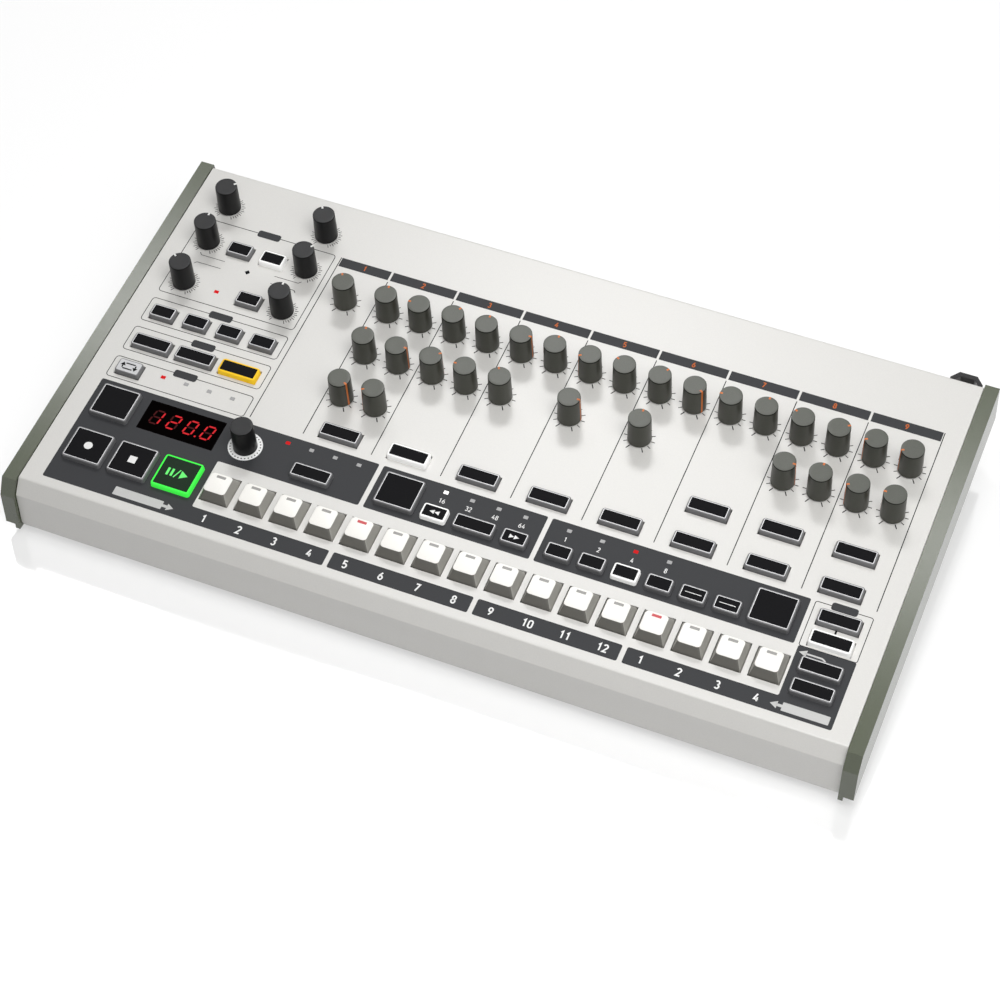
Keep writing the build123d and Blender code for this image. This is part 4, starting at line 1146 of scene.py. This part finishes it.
def floor_material():
    """Pale floor that the camera sees as white away from the shadow, with a faint reflection."""
    material = bpy.data.materials.new("white studio floor")
    material.use_nodes = True
    tree = material.node_tree
    nodes, links = tree.nodes, tree.links
    surface = nodes["Principled BSDF"]
    surface.inputs["Base Color"].default_value = (FLOOR_GREY, FLOOR_GREY, FLOOR_GREY, 1.0)
    surface.inputs["Roughness"].default_value = FLOOR_ROUGHNESS
    surface.inputs["Specular IOR Level"].default_value = 1.0
    surface.inputs["IOR"].default_value = FLOOR_IOR
    path = nodes.new("ShaderNodeLightPath")
    seen = either(tree, path.outputs["Is Camera Ray"], path.outputs["Is Glossy Ray"])
    amount = nodes.new("ShaderNodeMath")
    amount.operation = "MULTIPLY"
    amount.inputs[1].default_value = FLOOR_GLOW
    links.new(seen, amount.inputs[0])
    glow = nodes.new("ShaderNodeEmission")
    glow.inputs["Color"].default_value = WHITE
    links.new(amount.outputs["Value"], glow.inputs["Strength"])
    both = nodes.new("ShaderNodeAddShader")
    links.new(surface.outputs["BSDF"], both.inputs[0])
    links.new(glow.outputs["Emission"], both.inputs[1])
    links.new(both.outputs["Shader"], nodes["Material Output"].inputs["Surface"])
    return material


def floor():
    """One large square at the height of the feet."""
    mesh = bpy.data.meshes.new("floor")
    corners = block(-FLOOR_HALF, FLOOR_HALF, -FLOOR_HALF, FLOOR_HALF)
    mesh.from_pydata(ring_at(corners, 0.0).tolist(), [], [(0, 1, 2, 3)])
    mesh.materials.append(floor_material())
    linked("floor", mesh)


def surroundings():
    """Even white light from all round, which the camera and reflections see as plain white."""
    world = bpy.data.worlds.new("white room")
    bpy.context.scene.world = world
    world.use_nodes = True
    tree = world.node_tree
    path = tree.nodes.new("ShaderNodeLightPath")
    camera_or_mirror = either(tree, path.outputs["Is Camera Ray"], path.outputs["Is Glossy Ray"])
    seen = either(tree, camera_or_mirror, path.outputs["Is Transmission Ray"])
    brightness = tree.nodes.new("ShaderNodeMapRange")
    brightness.inputs["To Min"].default_value = ROOM_LIGHT
    brightness.inputs["To Max"].default_value = 1.0
    tree.links.new(seen, brightness.inputs["Value"])
    background = tree.nodes["Background"]
    background.inputs["Color"].default_value = WHITE
    tree.links.new(brightness.outputs["Result"], background.inputs["Strength"])


def softbox(name, place, aim, width, depth, watts):
    """Rectangular area lamp at a place, turned to face its aim."""
    lamp_data = bpy.data.lights.new(name, "AREA")
    lamp_data.shape = "RECTANGLE"
    lamp_data.size = width
    lamp_data.size_y = depth
    lamp_data.energy = watts
    thing = linked(name, lamp_data)
    thing.location = place
    way = Vector(aim) - Vector(place)
    thing.rotation_euler = way.to_track_quat("-Z", "Y").to_euler()


# Lamps: place, aim, width and depth in metres, and watts. Soft ones light the case evenly, the small
# rear key gives the sheen and the shadows, and the camera sees the last two in the cheeks' tops.
CASE = (0.0, 0.0, 0.04)
PANEL_RIGHT = (0.2, -0.05, 0.04)
LEFT_CHEEK = (-0.24, 0.0, 0.05)
RIGHT_CHEEK = (0.24, 0.0, 0.05)
SOFTBOXES = [
    ("overhead softbox", (0.28, -0.25, 1.2), PANEL_RIGHT, 0.7, 0.7, 8.0),
    ("front softbox", (0.35, -0.95, 1.75), CASE, 1.4, 1.2, 5.0),
    ("side softbox", (1.1, -0.7, 1.4), CASE, 1.2, 1.2, 10.0),
    ("rear key", (-0.38, 0.9, 1.52), CASE, 0.36, 0.26, 6.4),
    ("low front fill", (0.35, -1.25, 0.72), CASE, 0.9, 0.4, 1.0),
    ("left cheek light", (-1.016, 0.864, 1.593), LEFT_CHEEK, 0.25, 0.12, 1.1),
    ("right cheek light", (0.095, 0.875, 1.594), RIGHT_CHEEK, 0.25, 0.12, 0.9),
]
floor()
surroundings()
for row in SOFTBOXES:
    softbox(*row)

# Camera: its place in panel millimetres, its axes in the panel's directions, and its focal length as a
# share of the sensor's width
CAMERA_PLACE = np.array([602.76, -659.40, 1141.28])
CAMERA_RIGHT = np.array([0.92526143, 0.37759838, -0.03620423])
CAMERA_DOWN = np.array([0.2880125, -0.76142483, -0.58075901])
FOCAL_SHARE = 2.5665
SENSOR_WIDTH = 36.0


def camera():
    """Camera turned so that its axes, given in the panel's directions, become the room's."""
    basis = np.stack([ACROSS, UP_SLOPE, OUTWARD], axis=1)
    right = basis @ CAMERA_RIGHT
    up = -(basis @ CAMERA_DOWN)
    back = np.cross(right, up)
    matrix = np.eye(4)
    matrix[:3] = np.stack([right, up, back, on_panel(*CAMERA_PLACE)], axis=1)
    data = bpy.data.cameras.new("camera")
    data.sensor_width = SENSOR_WIDTH
    data.sensor_fit = "HORIZONTAL"
    data.lens = SENSOR_WIDTH * FOCAL_SHARE
    data.clip_start = 0.05
    data.clip_end = 50.0
    thing = linked("camera", data)
    thing.matrix_world = Matrix(matrix.tolist())
    bpy.context.scene.camera = thing


camera()
bpy.context.scene.view_settings.view_transform = "Standard"
